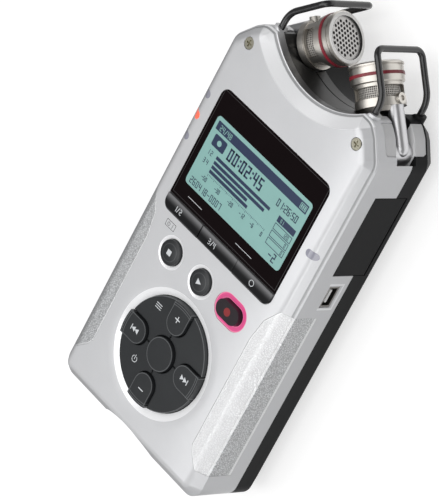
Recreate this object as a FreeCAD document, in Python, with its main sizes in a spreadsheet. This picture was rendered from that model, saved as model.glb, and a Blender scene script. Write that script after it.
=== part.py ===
"""Handheld digital recorder with two swinging microphones, modelled as its separate pieces.

The recorder lies on its back: +Z points out of the front face, +Y towards the microphones,
+X to the side with the card door. The origin is the middle of the box, on the resting plane.
"""
import FreeCAD
import Part
import Sketcher
import math
import os
import re

# Driving dimensions in millimetres. "up" is measured from the bottom end along +Y,
# "deep" is measured down from the front face, "out" is measured from the middle plane.
SIZES = {
    "overall_length": 155.0,
    "front_height": 34.3,
    "guard_rise": 18.0,
    "side_room": 8.05,
    "pad_height": 0.8,
    "shell_wall": 2.0,
    "front_wall": 2.2,
    "rear_wall": 2.6,
    "end_wall": 3.2,
    "cavity_step": 5.6,
    "part_gap": 0.2,
    "bottom_corner_radius": 5.0,
    "side_bevel_in": 3.5,
    "side_bevel_deep": 3.8,
    "front_roll_radius": 3.0,
    "rear_bevel_in": 4.6,
    "rear_bevel_high": 7.0,
    "scoop_radius": 34.0,
    "scoop_below": 29.5,
    "scoop_above": 8.0,
    "shoulder_drop": 10.0,
    "cradle_drop": 8.0,
    "ear_flat": 4.45,
    "cradle_floor_thick": 10.0,
    "shoulder_radius": 6.0,
    "cradle_bevel_in": 4.6,
    "cradle_bevel_deep": 3.5,
    "liner_thick": 5.0,
    "liner_set_back": 0.3,
    "liner_deep": 6.6,
    "liner_groove_up": 19.0,
    "liner_groove_wide": 0.5,
    "glass_to_ear": 23.4,
    "glass_thick": 1.2,
    "glass_corner_radius": 3.2,
    "lcd_low_border": 11.3,
    "lcd_high_border": 8.5,
    "lcd_thick": 3.0,
    "soft_key_height": 5.2,
    "soft_key_rise": 0.7,
    "key_gap": 0.25,
    "key_foot_deep": 4.4,
    "key_travel": 0.4,
    "wheel_low_up": 12.8,
    "wheel_radius": 18.2,
    "wheel_dish_width": 2.3,
    "wheel_dish_deep": 1.2,
    "wheel_rise": 0.3,
    "lobe_rise": 1.3,
    "lobe_half_width": 4.2,
    "lobe_set_in": 6.0,
    "enter_radius": 5.6,
    "wheel_to_buttons": 9.6,
    "button_side_out": 15.2,
    "button_radius": 4.1,
    "button_dish": 1.1,
    "button_rise": 1.0,
    "button_dome_radius": 20.0,
    "buttons_to_glass": 10.0,
    "record_radius": 2.9,
    "record_half_slot": 2.2,
    "record_rise": 1.5,
    "light_ring_width": 2.0,
    "light_ring_deep": 0.7,
    "screw_head_radius": 1.85,
    "screw_head_thick": 1.2,
    "screw_head_deep": 0.2,
    "screw_shank_radius": 1.0,
    "screw_length": 5.0,
    "screw_cross_reach": 1.15,
    "screw_cross_half": 0.25,
    "screw_cross_deep": 0.6,
    "lens_half_width": 1.3,
    "lens_half_slot": 0.9,
    "lens_pitch": 7.7,
    "lens_depth": 2.4,
    "grip_low_up": 10.2,
    "grip_thick": 0.7,
    "grip_side_deep": 13.5,
    "grip_shoulder_in": 1.4,
    "grip_shoulder_run": 8.0,
    "grip_corner_rise": 6.0,
    "grip_corner_drop": 6.3,
    "door_front_deep": 10.2,
    "door_length": 28.6,
    "door_thick": 1.6,
    "door_hinge_radius": 0.8,
    "card_width": 24.6,
    "card_thick": 2.3,
    "card_depth": 26.0,
    "card_slot_wall": 0.7,
    "usb_front_deep": 11.8,
    "usb_rear_deep": 16.4,
    "usb_width": 7.5,
    "usb_length": 6.4,
    "usb_wall": 0.5,
    "pivot_pin_radius": 1.5,
    "mic_swing": 70.0,
    "running_clearance": 0.06,
    "knuckle_radius": 4.0,
    "arm_slot_width": 8.8,
    "arm_width": 8.2,
    "arm_offset": 5.55,
    "arm_radius": 2.5,
    "arm_slot_radius": 6.0,
    "hinge_corner_radius": 1.5,
    "hinge_gap": 0.1,
    "capsule_length": 15.0,
    "capsule_radius": 8.5,
    "capsule_clear": 0.45,
    "cage_radius": 7.5,
    "cage_wall": 1.2,
    "base_radius": 6.6,
    "base_end_radius": 6.0,
    "base_length": 1.4,
    "clamp_radius": 7.8,
    "clamp_length": 2.3,
    "window_length": 3.6,
    "window_width": 8.8,
    "cage_length": 8.6,
    "mesh_wall": 0.4,
    "mesh_overlap": 1.0,
    "cap_radius": 8.2,
    "cap_bore": 6.8,
    "band_start": 2.1,
    "band_length": 1.0,
    "band_groove": 0.35,
    "groove_length": 0.5,
    "groove_depth": 0.45,
    "front_ring_length": 1.1,
    "front_ring_bevel": 0.6,
    "clamp_screw_radius": 1.7,
    "clamp_screw_rise": 0.9,
    "grille_recess": 0.7,
    "grille_thick": 0.6,
    "grille_hole_radius": 0.56,
    "grille_pitch": 1.5,
    "grille_border": 0.6,
    "guard_wire_radius": 1.05,
    "guard_bend_radius": 2.6,
    "guard_leg_bend_radius": 8.0,
    "leg_clear": 0.35,
    "collar_radius": 2.2,
    "collar_height": 1.0,
    "side_socket_deep": 14.0,
    "headphone_radius": 1.8,
    "headphone_length": 14.0,
    "headphone_collar": 3.2,
    "headphone_half_width": 4.5,
    "rocker_length": 11.0,
    "rocker_width": 4.4,
    "rocker_rise": 0.9,
    "rocker_inside": 3.0,
    "hold_length": 3.6,
    "hold_width": 2.6,
    "hold_rise": 0.6,
    "hold_travel": 2.4,
    "jack_set_back": 0.3,
    "jack_clear": 0.7,
    "jack_length": 27.0,
    "plug_bore_radius": 3.25,
    "plug_bore_length": 24.0,
    "pin_ring_inner": 5.4,
    "pin_ring_deep": 14.0,
    "tab_out": 2.1,
    "tab_half_width": 1.5,
    "tab_half_height": 3.0,
    "tab_length": 4.4,
    "tab_set_back": 0.2,
    "cell_radius": 7.1,
    "cell_length": 49.2,
    "cell_nub_radius": 2.7,
    "cell_nub_length": 1.2,
    "cell_gap": 0.2,
    "cell_end_room": 0.15,
    "bay_wall": 1.2,
    "cover_thick": 1.6,
    "cover_slide": 4.0,
    "cover_ledge": 1.4,
    "contact_thick": 0.4,
    "contact_half_width": 4.5,
    "tripod_radius": 2.6,
    "tripod_boss_radius": 5.0,
    "tripod_length": 6.5,
    "speaker_out": 14.0,
    "speaker_radius": 8.0,
    "speaker_thick": 4.0,
    "speaker_hole_radius": 0.7,
    "board_thick": 1.2,
    "board_deep": 9.4,
    "key_board_deep": 5.1,
    "key_board_thick": 0.8,
    "key_board_low_up": 11.0,
    "post_radius": 1.8,
    "rear_screw_out": 14.0,
    "rear_screw_low_up": 14.0,
    "rear_screw_radius": 2.0,
    "rear_screw_length": 9.0,
    "rear_boss_radius": 3.0,
    "foot_low_up": 4.8,
    "foot_high_up": 10.6,
    "foot_corner_radius": 2.5,
}

# Places and sizes that follow from the driving dimensions
DERIVED = {
    "wheel_up": "wheel_low_up + wheel_radius",
    "lobe_centre_out": "wheel_radius - lobe_set_in",
    "button_up": "wheel_up + wheel_radius + wheel_to_buttons",
    "glass_low_up": "button_up + buttons_to_glass",
    "ear_up": "overall_length - guard_rise",
    "glass_high_up": "ear_up - glass_to_ear",
    "lcd_low_up": "glass_low_up + lcd_low_border",
    "lcd_high_up": "glass_high_up - lcd_high_border",
    "shoulder_up": "ear_up - shoulder_drop",
    "shoulder_mid_up": "ear_up - 0.31 * shoulder_drop",
    "cradle_floor_up": "ear_up - cradle_drop",
    "cradle_radius": "((ear_out - ear_flat)^2 + cradle_drop^2) / (2 * cradle_drop)",
    "cavity_top_up": "cradle_floor_up - cradle_floor_thick",
    "screw_up": "ear_up - 7.6",
    "pivot_up": "ear_up - 9.5",
    "hinge_block_low_up": "cavity_top_up + 0.6",
    "hinge_block_step_up": "ear_up - 4",
    "hinge_mouth_up": "ear_up - 7.6",
    "capsule_tip_up": "ear_up + 8.2",
    "guard_root_up": "ear_up - 3.6",
    "board_low_up": "jack_set_back + jack_length + 2.2",
    "board_high_up": "cavity_top_up - 0.6",
    "post_low_up": "board_low_up + 3.5",
    "post_high_up": "cavity_top_up - 2.6",
    "key_board_high_up": "glass_low_up + 8.2",
    "rear_screw_up": "cradle_floor_up - 5.4",
    "door_high_up": "cavity_top_up - 3.4",
    "door_low_up": "door_high_up - door_length",
    "usb_high_up": "door_low_up - 4.3",
    "usb_low_up": "usb_high_up - usb_width",
    "hold_up": "cavity_top_up - 5",
    "headphone_up": "hold_up - 10",
    "volume_up": "headphone_up - 12.8",
    "level_up": "volume_up - rocker_length - 2",
    "grip_high_up": "min(glass_low_up - 3.8; level_up - rocker_length / 2 - grip_corner_rise - 1.7)",
    "lens_low_up": "glass_high_up - 21.9",
    "peak_up": "glass_high_up - 21.3",
    "speaker_up": "cavity_top_up - speaker_radius - 3",
    "cell_low_up": "jack_set_back + jack_length + cover_slide + 1.9",
    "cover_low_up": "cell_low_up - 1.6",
    "cover_high_up": "cell_low_up + 3 * (2 * cell_radius + cell_gap) + 1.4",
    "tripod_up": "cover_high_up + 10.2",
    "ridge_low_up": "cover_high_up + 1.2",
    "ridge_high_up": "ridge_low_up + 18",
    "body_width": "cell_length + cell_nub_length + 2 * (cell_end_room + contact_thick + bay_wall + side_room)",
    "cover_half_width": "(cell_length + cell_nub_length) / 2 + cell_end_room + contact_thick + 1.25",
    "ear_out": "body_width / 2 - 9.2",
    "shoulder_mid_out": "body_width / 2 - 5.5",
    "screw_out": "ear_out + 0.5",
    "pivot_out": "body_width / 2 - 7",
    "hinge_block_in_out": "pivot_out - 6.5",
    "hinge_block_out_out": "body_width / 2 - 2.6",
    "hinge_block_top_out": "ear_out - 0.4",
    "capsule_tip_out": "pivot_out - 21.1",
    "guard_leg_out": "pivot_out - 5.2",
    "guard_bar_out": "guard_leg_out - 10.9",
    "lens_out": "body_width / 2 - 2.8",
    "peak_out": "body_width / 2 - 3.8",
    "grip_inner_out": "body_width / 2 - 8.8",
    "grip_corner_out": "body_width / 2 - 3.6",
    "glass_half_width": "body_width / 2 - 8.25",
    "lcd_half_width": "glass_half_width - 3.15",
    "board_half_width": "body_width / 2 - 5",
    "key_board_half_width": "body_width / 2 - 6",
    "post_out": "board_half_width - 0.2",
    "foot_half_width": "body_width / 2 - 9",
    "mic_deep": "front_height / 2 - 0.45",
    "seam_deep": "mic_deep + 2.9",
    "hinge_block_half": "front_height / 2 - 7.65",
    "pivot_pin_length": "2 * hinge_block_half - 2",
    "guard_half_gap": "capsule_radius + guard_wire_radius + 0.85",
    "jack_radius": "(front_height - pad_height - rear_wall - key_board_deep - key_board_thick) / 2 - jack_clear",
    "jack_deep": "(front_height + key_board_deep + key_board_thick - pad_height - rear_wall) / 2",
    "jack_out": "jack_radius + 4.4",
    "pin_ring_outer": "jack_radius - 2.2",
    "headphone_low_deep": "side_socket_deep + 3.6",
    "door_rear_deep": "front_height - pad_height - rear_bevel_high - 1.8",
}

BOTTOM = "(-overall_length / 2)"
FRONT = "front_height"
REAR = "pad_height"
SEAM = "(front_height - seam_deep)"
HALF = "(body_width / 2)"
MID = "(front_height - mic_deep)"

doc = FreeCAD.newDocument("recorder")
sheet = doc.addObject("Spreadsheet::Sheet", "Sizes")
for row, alias in enumerate([*SIZES, *DERIVED], start=1):
    sheet.set("A%d" % row, alias)
    sheet.setAlias("B%d" % row, alias)
    sheet.set("B%d" % row, str(SIZES[alias]) if alias in SIZES else "=" + DERIVED[alias])
doc.recompute()

NODES = []


def formula(text):
    """Point every dimension named in the text at its spreadsheet cell."""
    return re.sub(r"[a-z]\w+", lambda m: "Sizes." + m[0] if m[0] in SIZES or m[0] in DERIVED else m[0], text)


def bind(obj, **formulas):
    """Tie properties of an object to formulas of the driving dimensions."""
    for prop, text in formulas.items():
        obj.setExpression(prop, formula(text))
    return obj


def place(obj, x="0", y="0", z="0"):
    """Tie the position of an object to three formulas."""
    for axis, text in zip("xyz", (x, y, z)):
        obj.setExpression(".Placement.Base." + axis, formula(text))
    return obj


def turn(obj, axis, angle):
    """Turn an object about its own origin."""
    obj.Placement.Rotation = FreeCAD.Rotation(FreeCAD.Vector(*axis), angle)
    return obj


def box(name, x, y, z):
    """A block between pairs of low and high formulas along each axis."""
    block = doc.addObject("Part::Box", name)
    bind(block, Length="(%s) - (%s)" % (x[1], x[0]), Width="(%s) - (%s)" % (y[1], y[0]),
         Height="(%s) - (%s)" % (z[1], z[0]))
    return place(block, x[0], y[0], z[0])


AXES = {"X": ((0, 1, 0), 90), "-X": ((0, 1, 0), -90), "Y": ((1, 0, 0), -90), "-Y": ((1, 0, 0), 90),
        "Z": ((0, 0, 1), 0), "-Z": ((1, 0, 0), 180)}


def rod(name, radius, length, at, along="Z"):
    """A cylinder that starts at a point and runs along an axis."""
    bar = doc.addObject("Part::Cylinder", name)
    bind(bar, Radius=radius, Height=length)
    turn(bar, *AXES[along])
    return place(bar, *at)


def cone(name, radius, end_radius, length, at, along="Z"):
    """A frustum that starts at a point and runs along an axis."""
    taper = doc.addObject("Part::Cone", name)
    bind(taper, Radius1=radius, Radius2=end_radius, Height=length)
    turn(taper, *AXES[along])
    return place(taper, *at)


def six_sided(name, radius, length, at):
    """An upright six-sided bar that starts at a point."""
    bar = doc.addObject("Part::Prism", name)
    bind(bar, Circumradius=radius, Height=length)
    return place(bar, *at)


def size(alias):
    """The number in a cell of the sheet."""
    return float(sheet.get(alias))


def join(name, *shapes):
    """Several solids fused into one."""
    fused = doc.addObject("Part::MultiFuse", name)
    fused.Shapes = list(shapes)
    return fused


def cut(name, base, *tools):
    """A solid with other solids taken out of it."""
    result = doc.addObject("Part::Cut", name)
    result.Base = base
    result.Tool = tools[0] if len(tools) == 1 else join(name + "_tools", *tools)
    return result


def common(name, first, second):
    """The space that two solids share."""
    shared = doc.addObject("Part::Common", name)
    shared.Base = first
    shared.Tool = second
    return shared


def mirrored(name, source):
    """The same solid on the other side of the middle plane."""
    twin = doc.addObject("Part::Mirroring", name)
    twin.Source = source
    twin.Normal = FreeCAD.Vector(1, 0, 0)
    return twin


def node(label, solid):
    """Name a finished piece, so that it is written out under that name."""
    solid.Label = label
    NODES.append(solid)
    return solid


def sketch_on(body, plane="XY_Plane"):
    """An empty sketch on one of a body's own origin planes."""
    support = [f for f in body.Origin.OriginFeatures if f.Role == plane][0]
    sketch = body.newObject("Sketcher::SketchObject", body.Name + "_sketch")
    sketch.AttachmentSupport = (support, [""])
    sketch.MapMode = "FlatFace"
    return sketch


def draw_polygon(sketch, points):
    """A closed outline through points that are pairs of formulas."""
    count = len(points)
    start = sketch.GeometryCount
    corners = [FreeCAD.Vector(*[float(sketch.evalExpression(formula(text))) for text in point], 0)
               for point in points]
    for i in range(count):
        sketch.addGeometry(Part.LineSegment(corners[i], corners[(i + 1) % count]), False)
    for i in range(count):
        sketch.addConstraint(Sketcher.Constraint("Coincident", start + i, 2, start + (i + 1) % count, 1))
    for i, (x, y) in enumerate(points):
        for kind, text, now in (("DistanceX", x, corners[i].x), ("DistanceY", y, corners[i].y)):
            index = sketch.addConstraint(Sketcher.Constraint(kind, -1, 1, start + i, 1, now))
            sketch.setExpression("Constraints[%d]" % index, formula(text))


def prism(name, points, low, high, rounds=()):
    """An outline in the XY plane, raised from one height to another, with corners rounded.

    rounds holds pairs: the numbers of the corners, and the formula of their radius.
    """
    body = doc.addObject("PartDesign::Body", name)
    sketch = sketch_on(body)
    draw_polygon(sketch, points)
    pad = body.newObject("PartDesign::Pad", name + "_pad")
    pad.Profile = sketch
    bind(pad, Length="(%s) - (%s)" % (high, low))
    place(body, z=low)
    doc.recompute()
    corners = [line.StartPoint for line in sketch.Geometry]
    for numbers, radius in rounds:
        picked = []
        for number in numbers:
            corner = corners[number]
            picked += [i for i, edge in enumerate(body.Tip.Shape.Edges, start=1)
                       if all(math.hypot(v.X - corner.x, v.Y - corner.y) < 1e-4 for v in edge.Vertexes)]
        round_edges(body, picked, radius)
    return body


def round_edges(body, picked, radius):
    """Round the numbered edges of a body's latest feature."""
    base = body.Tip
    fillet = body.newObject("PartDesign::Fillet", body.Name + "_round")
    fillet.Base = (base, ["Edge%d" % i for i in picked])
    bind(fillet, Radius=radius)
    body.Tip = fillet
    doc.recompute()


def bevel_edges(body, picked, inward, along):
    """Cut a bevel along the numbered edges, so far inward and so far along the body's height."""
    base = body.Tip
    bevel = body.newObject("PartDesign::Chamfer", body.Name + "_bevel")
    bevel.Base = (base, ["Edge%d" % i for i in picked])
    bevel.ChamferType = "Two distances"
    bind(bevel, Size=along, Size2=inward)
    body.Tip = bevel
    doc.recompute()
    return bevel


def level_edges(shape, height, wanted=lambda middle: True):
    """Numbers of the edges that lie level at a height and whose middle point is wanted."""
    picked = []
    for i, edge in enumerate(shape.Edges, start=1):
        bounds = edge.BoundBox
        if abs(bounds.ZMin - height) < 1e-4 and abs(bounds.ZMax - height) < 1e-4 and wanted(edge.CenterOfMass):
            picked.append(i)
    return picked


def up(text):
    """The Y place of a distance above the bottom end."""
    return "%s + %s" % (BOTTOM, text)


def deep(text):
    """The Z place of a distance below the front face."""
    return "%s - (%s)" % (FRONT, text)


def outline(inset="0"):
    """Corners of the front outline, from the right bottom one round past both ears."""
    right = [
        ("%s - (%s)" % (HALF, inset), up("(%s)" % inset)),
        ("%s - (%s)" % (HALF, inset), up("shoulder_up")),
        ("shoulder_mid_out - (%s)" % inset, up("shoulder_mid_up")),
        ("ear_out - (%s)" % inset, up("ear_up - (%s)" % inset)),
    ]
    return right + [("-(%s)" % x, y) for x, y in reversed(right)]


def casing(name, low, high, inset="0"):
    """A solid of the front outline between two heights, with its corners rounded."""
    return prism(name, outline(inset), low, high,
                 [((0, 7), "bottom_corner_radius"), (range(1, 7), "shoulder_radius")])


def rounded_plate(name, x, y, z, radius):
    """A block with its four upright edges rounded."""
    corners = [(x[0], y[0]), (x[1], y[0]), (x[1], y[1]), (x[0], y[1])]
    return prism(name, corners, z[0], z[1], [((0, 1, 2, 3), radius)])


def obround(name, x, y, half_slot, radius, low, high):
    """An upright bar with round ends, long along X."""
    height = "(%s) - (%s)" % (high, low)
    ends = [rod(name + "_end", radius, height, ("(%s) %s (%s)" % (x, sign, half_slot), y, low))
            for sign in "+-"]
    web = box(name + "_web", ("(%s) - (%s)" % (x, half_slot), "(%s) + (%s)" % (x, half_slot)),
              ("(%s) - (%s)" % (y, radius), "(%s) + (%s)" % (y, radius)), (low, high))
    return join(name, web, *ends)


# Front shell: a bevelled tray open towards the seam

front_blank = casing("front_blank", SEAM, FRONT)
front_top = front_blank.Tip.Shape.BoundBox.ZMax
bevel_edges(front_blank, level_edges(front_blank.Tip.Shape, front_top), "side_bevel_in", "side_bevel_deep")
round_edges(front_blank, level_edges(front_blank.Tip.Shape, front_top), "front_roll_radius")


KEY_FOOT = deep("key_foot_deep")
OVER = "%s + 3" % FRONT


def low_cut(name, x, y, depth="front_wall + 1"):
    """A block that opens the front wall."""
    return box(name, x, y, (deep(depth), OVER))


def both_sides(name, tool):
    """A tool for the right side together with its twin on the left."""
    return [tool, mirrored(name + "_left", tool)]


# The cradle: a round valley right through the top end, with a wide bevel at the front

CRADLE_CENTRE = ("0", up("cradle_floor_up + cradle_radius"))
cradle = join(
    "cradle",
    rod("cradle_round", "cradle_radius", "front_height + 4", (*CRADLE_CENTRE, "-2")),
    cone("cradle_bevel", "cradle_radius - 0.001",
         "cradle_radius + cradle_bevel_in * (cradle_bevel_deep + 1) / cradle_bevel_deep", "cradle_bevel_deep + 1",
         (*CRADLE_CENTRE, deep("cradle_bevel_deep"))),
    cone("cradle_rear_bevel", "cradle_radius + 2 * 1.5", "cradle_radius - 0.001", "pad_height + 2 + 1",
         (*CRADLE_CENTRE, "-1")))

# The frames of the right microphone: its axis lies level and leans 45 degrees towards the middle

LEAN = "0.70710678"
BASE_OUT = "(capsule_tip_out + capsule_length * %s)" % LEAN
BASE_UP = "(capsule_tip_up - capsule_length * %s)" % LEAN
PIVOT_SIDE = "((pivot_out - %s + pivot_up - %s) * %s)" % (BASE_OUT, BASE_UP, LEAN)
PIVOT_BACK = "((%s - pivot_out + pivot_up - %s) * %s)" % (BASE_OUT, BASE_UP, LEAN)
MIC_TURN = FreeCAD.Rotation(FreeCAD.Vector(1, 1, 0), FreeCAD.Vector(0, 0, -1), FreeCAD.Vector(-1, 1, 0), "ZXY")


def on_microphone(solid):
    """Carry a solid drawn along +Z from the capsule's base to its place on the right microphone."""
    solid.Placement.Rotation = MIC_TURN
    return place(solid, BASE_OUT, up(BASE_UP), MID)


def revolve(name, points):
    """A round piece from its half section: pairs of radius and height."""
    body = doc.addObject("PartDesign::Body", name)
    sketch = sketch_on(body, "XZ_Plane")
    draw_polygon(sketch, points)
    turned = body.newObject("PartDesign::Revolution", name + "_turned")
    turned.Profile = sketch
    turned.ReferenceAxis = (sketch, ["V_Axis"])
    turned.Angle = 360
    return body


# Room for the microphones: their arms' slots, the capsules at rest and the way they swing out

PIVOT = ("pivot_out", up("pivot_up"))
OPEN_LEAN = "((135 - mic_swing) * 1deg)"


def arm_slot():
    """The slot between the ears, open outwards and upwards, from the closed arm to the open one."""
    low = "%s - arm_slot_width / 2" % MID
    high = "%s + arm_slot_width / 2" % MID
    start = ("pivot_out + arm_slot_radius * sin%s" % OPEN_LEAN,
             up("pivot_up - arm_slot_radius * cos%s" % OPEN_LEAN))
    end = ("pivot_out + arm_slot_radius * sin%s + 12 * cos%s" % (OPEN_LEAN, OPEN_LEAN),
           up("pivot_up - arm_slot_radius * cos%s + 12 * sin%s" % (OPEN_LEAN, OPEN_LEAN)))
    side = "(capsule_tip_out + capsule_tip_up + (arm_offset - arm_radius - 0.25) / %s)" % LEAN
    inner = "(pivot_out - 16)"
    points = [start, end, (end[0], up("overall_length")), (inner, up("overall_length")),
              (inner, up("%s - %s" % (side, inner))), ("pivot_out", up("%s - pivot_out" % side))]
    wedge = prism("arm_slot_wedge", points, low, high)
    hub = rod("arm_slot_hub", "arm_slot_radius", "arm_slot_width", (*PIVOT, low))
    return join("arm_slot", wedge, hub)


def capsule_room():
    """The space of the capsule at rest, and the ring that it sweeps as it swings."""
    rear = on_microphone(rod("capsule_rear_room", "clamp_radius + capsule_clear", "capsule_length",
                             ("0", "0", "0")))
    place(rear, "%s + capsule_clear * %s" % (BASE_OUT, LEAN), up("%s - capsule_clear * %s" % (BASE_UP, LEAN)), MID)
    reach = "(-%s - capsule_clear)" % PIVOT_BACK
    half = "(capsule_radius + capsule_clear)"
    ring = rod("swing_outer", "%s + 14" % reach, "2 * %s" % half, (*PIVOT, "%s - %s" % (MID, half)))
    hub = rod("swing_hub", reach, "2 * %s + 2" % half, (*PIVOT, "%s - %s - 1" % (MID, half)))
    quarter = box("swing_quarter", ("pivot_out - 10.5", "body_width"), (up("pivot_up + 3.5"), up("overall_length")),
                  ("%s - %s" % (MID, half), "%s + %s" % (MID, half)))
    return [rear, common("swing_room", cut("swing_ring", ring, hub), quarter)]


slot_tool = arm_slot()
room_tools = capsule_room()


def hinge_pocket(name, gap):
    """The pocket of the hinge block in the shoulder; a gap makes the block that fills it."""
    points = [
        ("hinge_block_in_out + (%s)" % gap, up("hinge_block_low_up + (%s)" % gap)),
        ("hinge_block_out_out - (%s)" % gap, up("hinge_block_low_up + (%s)" % gap)),
        ("hinge_block_out_out - (%s)" % gap, up("hinge_mouth_up + (%s)" % gap)),
        ("body_width", up("hinge_mouth_up + (%s)" % gap)),
        ("body_width", up("overall_length")),
        ("hinge_block_top_out + (%s)" % gap, up("overall_length")),
        ("hinge_block_top_out + (%s)" % gap, up("hinge_block_step_up - (%s)" % gap)),
        ("hinge_block_in_out + (%s)" % gap, up("hinge_block_step_up - (%s)" % gap)),
    ]
    body = prism(name, points, "%s - hinge_block_half + (%s)" % (MID, gap),
                 "%s + hinge_block_half - (%s)" % (MID, gap))
    mouth = size("hinge_mouth_up") - size("overall_length") / 2 + size("hinge_gap") * (gap != "0")
    picked = [i for i, edge in enumerate(body.Tip.Shape.Edges, start=1)
              if abs(edge.BoundBox.YMin - mouth) < 1e-4 and abs(edge.BoundBox.YMax - mouth) < 1e-4
              and edge.BoundBox.XLength > size("hinge_corner_radius")]
    round_edges(body, picked, "hinge_corner_radius")
    return body


def valley_liner(name, gap):
    """The curved wall that lines the valley from the seam up; a gap makes the room that it sits in."""
    high = deep("liner_deep - (%s)" % gap)
    ring = rod(name + "_ring", "cradle_radius + liner_thick + (%s)" % gap, "(%s) - (%s)" % (high, SEAM),
               (*CRADLE_CENTRE, SEAM))
    half = "(hinge_block_in_out + 1 + (%s))" % gap
    top = "ear_up" if gap != "0" else "ear_up - liner_set_back"
    window = box(name + "_window", ("-" + half, half), (up("cavity_top_up"), up(top)), (SEAM, high))
    return common(name, ring, window)


pocket = hinge_pocket("hinge_pocket", "0")
mic_tools = []
for tool in (pocket, slot_tool, *room_tools):
    mic_tools += both_sides(tool.Name, tool)


def collar(name, side, height):
    """The raised ring round the foot of a guard's leg."""
    return rod(name, "collar_radius", "ear_up + collar_height - guard_root_up",
               ("%s guard_leg_out" % side, up("guard_root_up"), height), "Y")


def leg_hole(name, height):
    """The hole that holds a guard's leg."""
    return rod(name, "guard_wire_radius", "overall_length - guard_root_up",
               ("guard_leg_out", up("guard_root_up"), height), "Y")


FRONT_LEG = "%s + guard_half_gap" % MID
REAR_LEG = "%s - guard_half_gap" % MID
leg_holes = both_sides("front_leg_hole", leg_hole("front_leg_hole", FRONT_LEG))
leg_holes += both_sides("rear_leg_hole", leg_hole("rear_leg_hole", REAR_LEG))

# Openings shared by both shells along the seam

JACK_Z = deep("jack_deep")
side_tools = [
    box("door_opening", ("%s - shell_wall - 0.5" % HALF, "%s + 2" % HALF),
        (up("door_low_up - part_gap"), up("door_high_up + part_gap")),
        (deep("door_rear_deep + part_gap"), deep("door_front_deep - part_gap"))),
    box("usb_opening", ("%s - shell_wall - 1" % HALF, "%s + 2" % HALF),
        (up("usb_low_up - part_gap"), up("usb_high_up + part_gap")),
        (deep("usb_rear_deep + part_gap"), deep("usb_front_deep - part_gap"))),
]
for side in (1, -1):
    tag = "right" if side > 0 else "left"
    x = "%d * jack_out" % side
    side_tools.append(rod(tag + "_jack_hole", "jack_radius", "end_wall + rear_bevel_in + 3",
                          (x, up("-2"), JACK_Z), "Y"))
    x = "%d * tab_out" % side
    half = "(tab_half_width + part_gap)"
    side_tools.append(box(tag + "_tab_hole", ("%s - %s" % (x, half), "%s + %s" % (x, half)),
                          (up("-2"), up("end_wall + 2")),
                          ("%s - tab_half_height - part_gap" % JACK_Z, "%s + tab_half_height + part_gap" % JACK_Z)))
for name, middle in (("volume", "volume_up"), ("level", "level_up")):
    side_tools.append(box(name + "_opening", ("-%s - 2" % HALF, "-%s + rocker_inside + 0.3" % HALF),
                          (up("%s - rocker_length / 2 - part_gap" % middle),
                           up("%s + rocker_length / 2 + part_gap" % middle)),
                          (deep("side_socket_deep + rocker_width / 2 + part_gap"),
                           deep("side_socket_deep - rocker_width / 2 - part_gap"))))
side_tools.append(box("hold_opening", ("-%s - 2" % HALF, "-%s + rocker_inside + 0.3" % HALF),
                      (up("hold_up - hold_length / 2 - part_gap"),
                       up("hold_up + hold_length / 2 + hold_travel + part_gap")),
                      (deep("side_socket_deep + hold_width / 2 + part_gap"),
                       deep("side_socket_deep - hold_width / 2 - part_gap"))))
side_tools.append(rod("headphone_hole", "headphone_collar", "shell_wall + 3",
                      ("-%s - 2" % HALF, up("headphone_up"), deep("side_socket_deep")), "X"))

# Grips: thin skins that wrap from the front face over the bevel onto the side


def grip_skin():
    """The right grip: the outer skin of the front shell inside an eight-cornered outline."""
    low, high = "grip_low_up", "(grip_high_up + grip_corner_rise)"
    points = [
        ("grip_inner_out", up("grip_low_up + grip_corner_drop")),
        ("grip_inner_out + grip_shoulder_in", up("grip_low_up + grip_corner_drop - 2.5")),
        ("grip_corner_out", up(low)), ("body_width", up(low)), ("body_width", up(high)),
        ("grip_corner_out", up(high)), ("grip_inner_out + grip_shoulder_in", up("grip_high_up")),
        ("grip_inner_out", up("grip_high_up - grip_shoulder_run")),
    ]
    region = prism("grip_region", points, deep("grip_side_deep"), OVER)
    outer = common("grip_outer", region, front_blank)
    edge = "(%s - side_bevel_in)" % HALF
    body = doc.addObject("PartDesign::Body", "grip_core")
    sketch = sketch_on(body, "XZ_Plane")
    draw_polygon(sketch, [
        ("0", "0"), ("%s - grip_thick" % HALF, "0"),
        ("%s - grip_thick" % HALF, deep("side_bevel_deep + grip_thick * 0.4")),
        ("%s - grip_thick * 0.4" % edge, deep("grip_thick")), ("0", deep("grip_thick"))])
    pad = body.newObject("PartDesign::Pad", "grip_core_pad")
    pad.Profile = sketch
    pad.Midplane = True
    bind(pad, Length="2 * overall_length")
    return cut("right_grip", outer, body)


right_grip = node("right_grip", grip_skin())
left_grip = node("left_grip", mirrored("left_grip", right_grip))

# Display window, soft keys and the key wheel


def window_recess(gap):
    """The rounded recess of the window and the three soft keys."""
    return rounded_plate("window_recess" if gap == "0" else "window_blank",
                         ("-glass_half_width + (%s)" % gap, "glass_half_width - (%s)" % gap),
                         (up("glass_low_up + (%s)" % gap), up("glass_high_up - (%s)" % gap)),
                         (deep("glass_thick"), FRONT if gap != "0" else OVER), "glass_corner_radius")


GLASS_EDGE = "(glass_low_up + soft_key_height)"
window_blank = window_recess("0.05")
window_upper = box("window_upper", ("-body_width", "body_width"),
                   (up("%s + key_gap / 2" % GLASS_EDGE), up("overall_length")), ("0", OVER))
node("display_window", common("display_window", window_blank, window_upper))

node("lcd_module", box("lcd_module", ("-lcd_half_width - 1.2", "lcd_half_width + 1.2"),
                       (up("lcd_low_up - 1.2"), up("lcd_high_up + 1.2")),
                       (deep("front_wall + 0.1 + lcd_thick"), deep("front_wall + 0.1"))))

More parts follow.
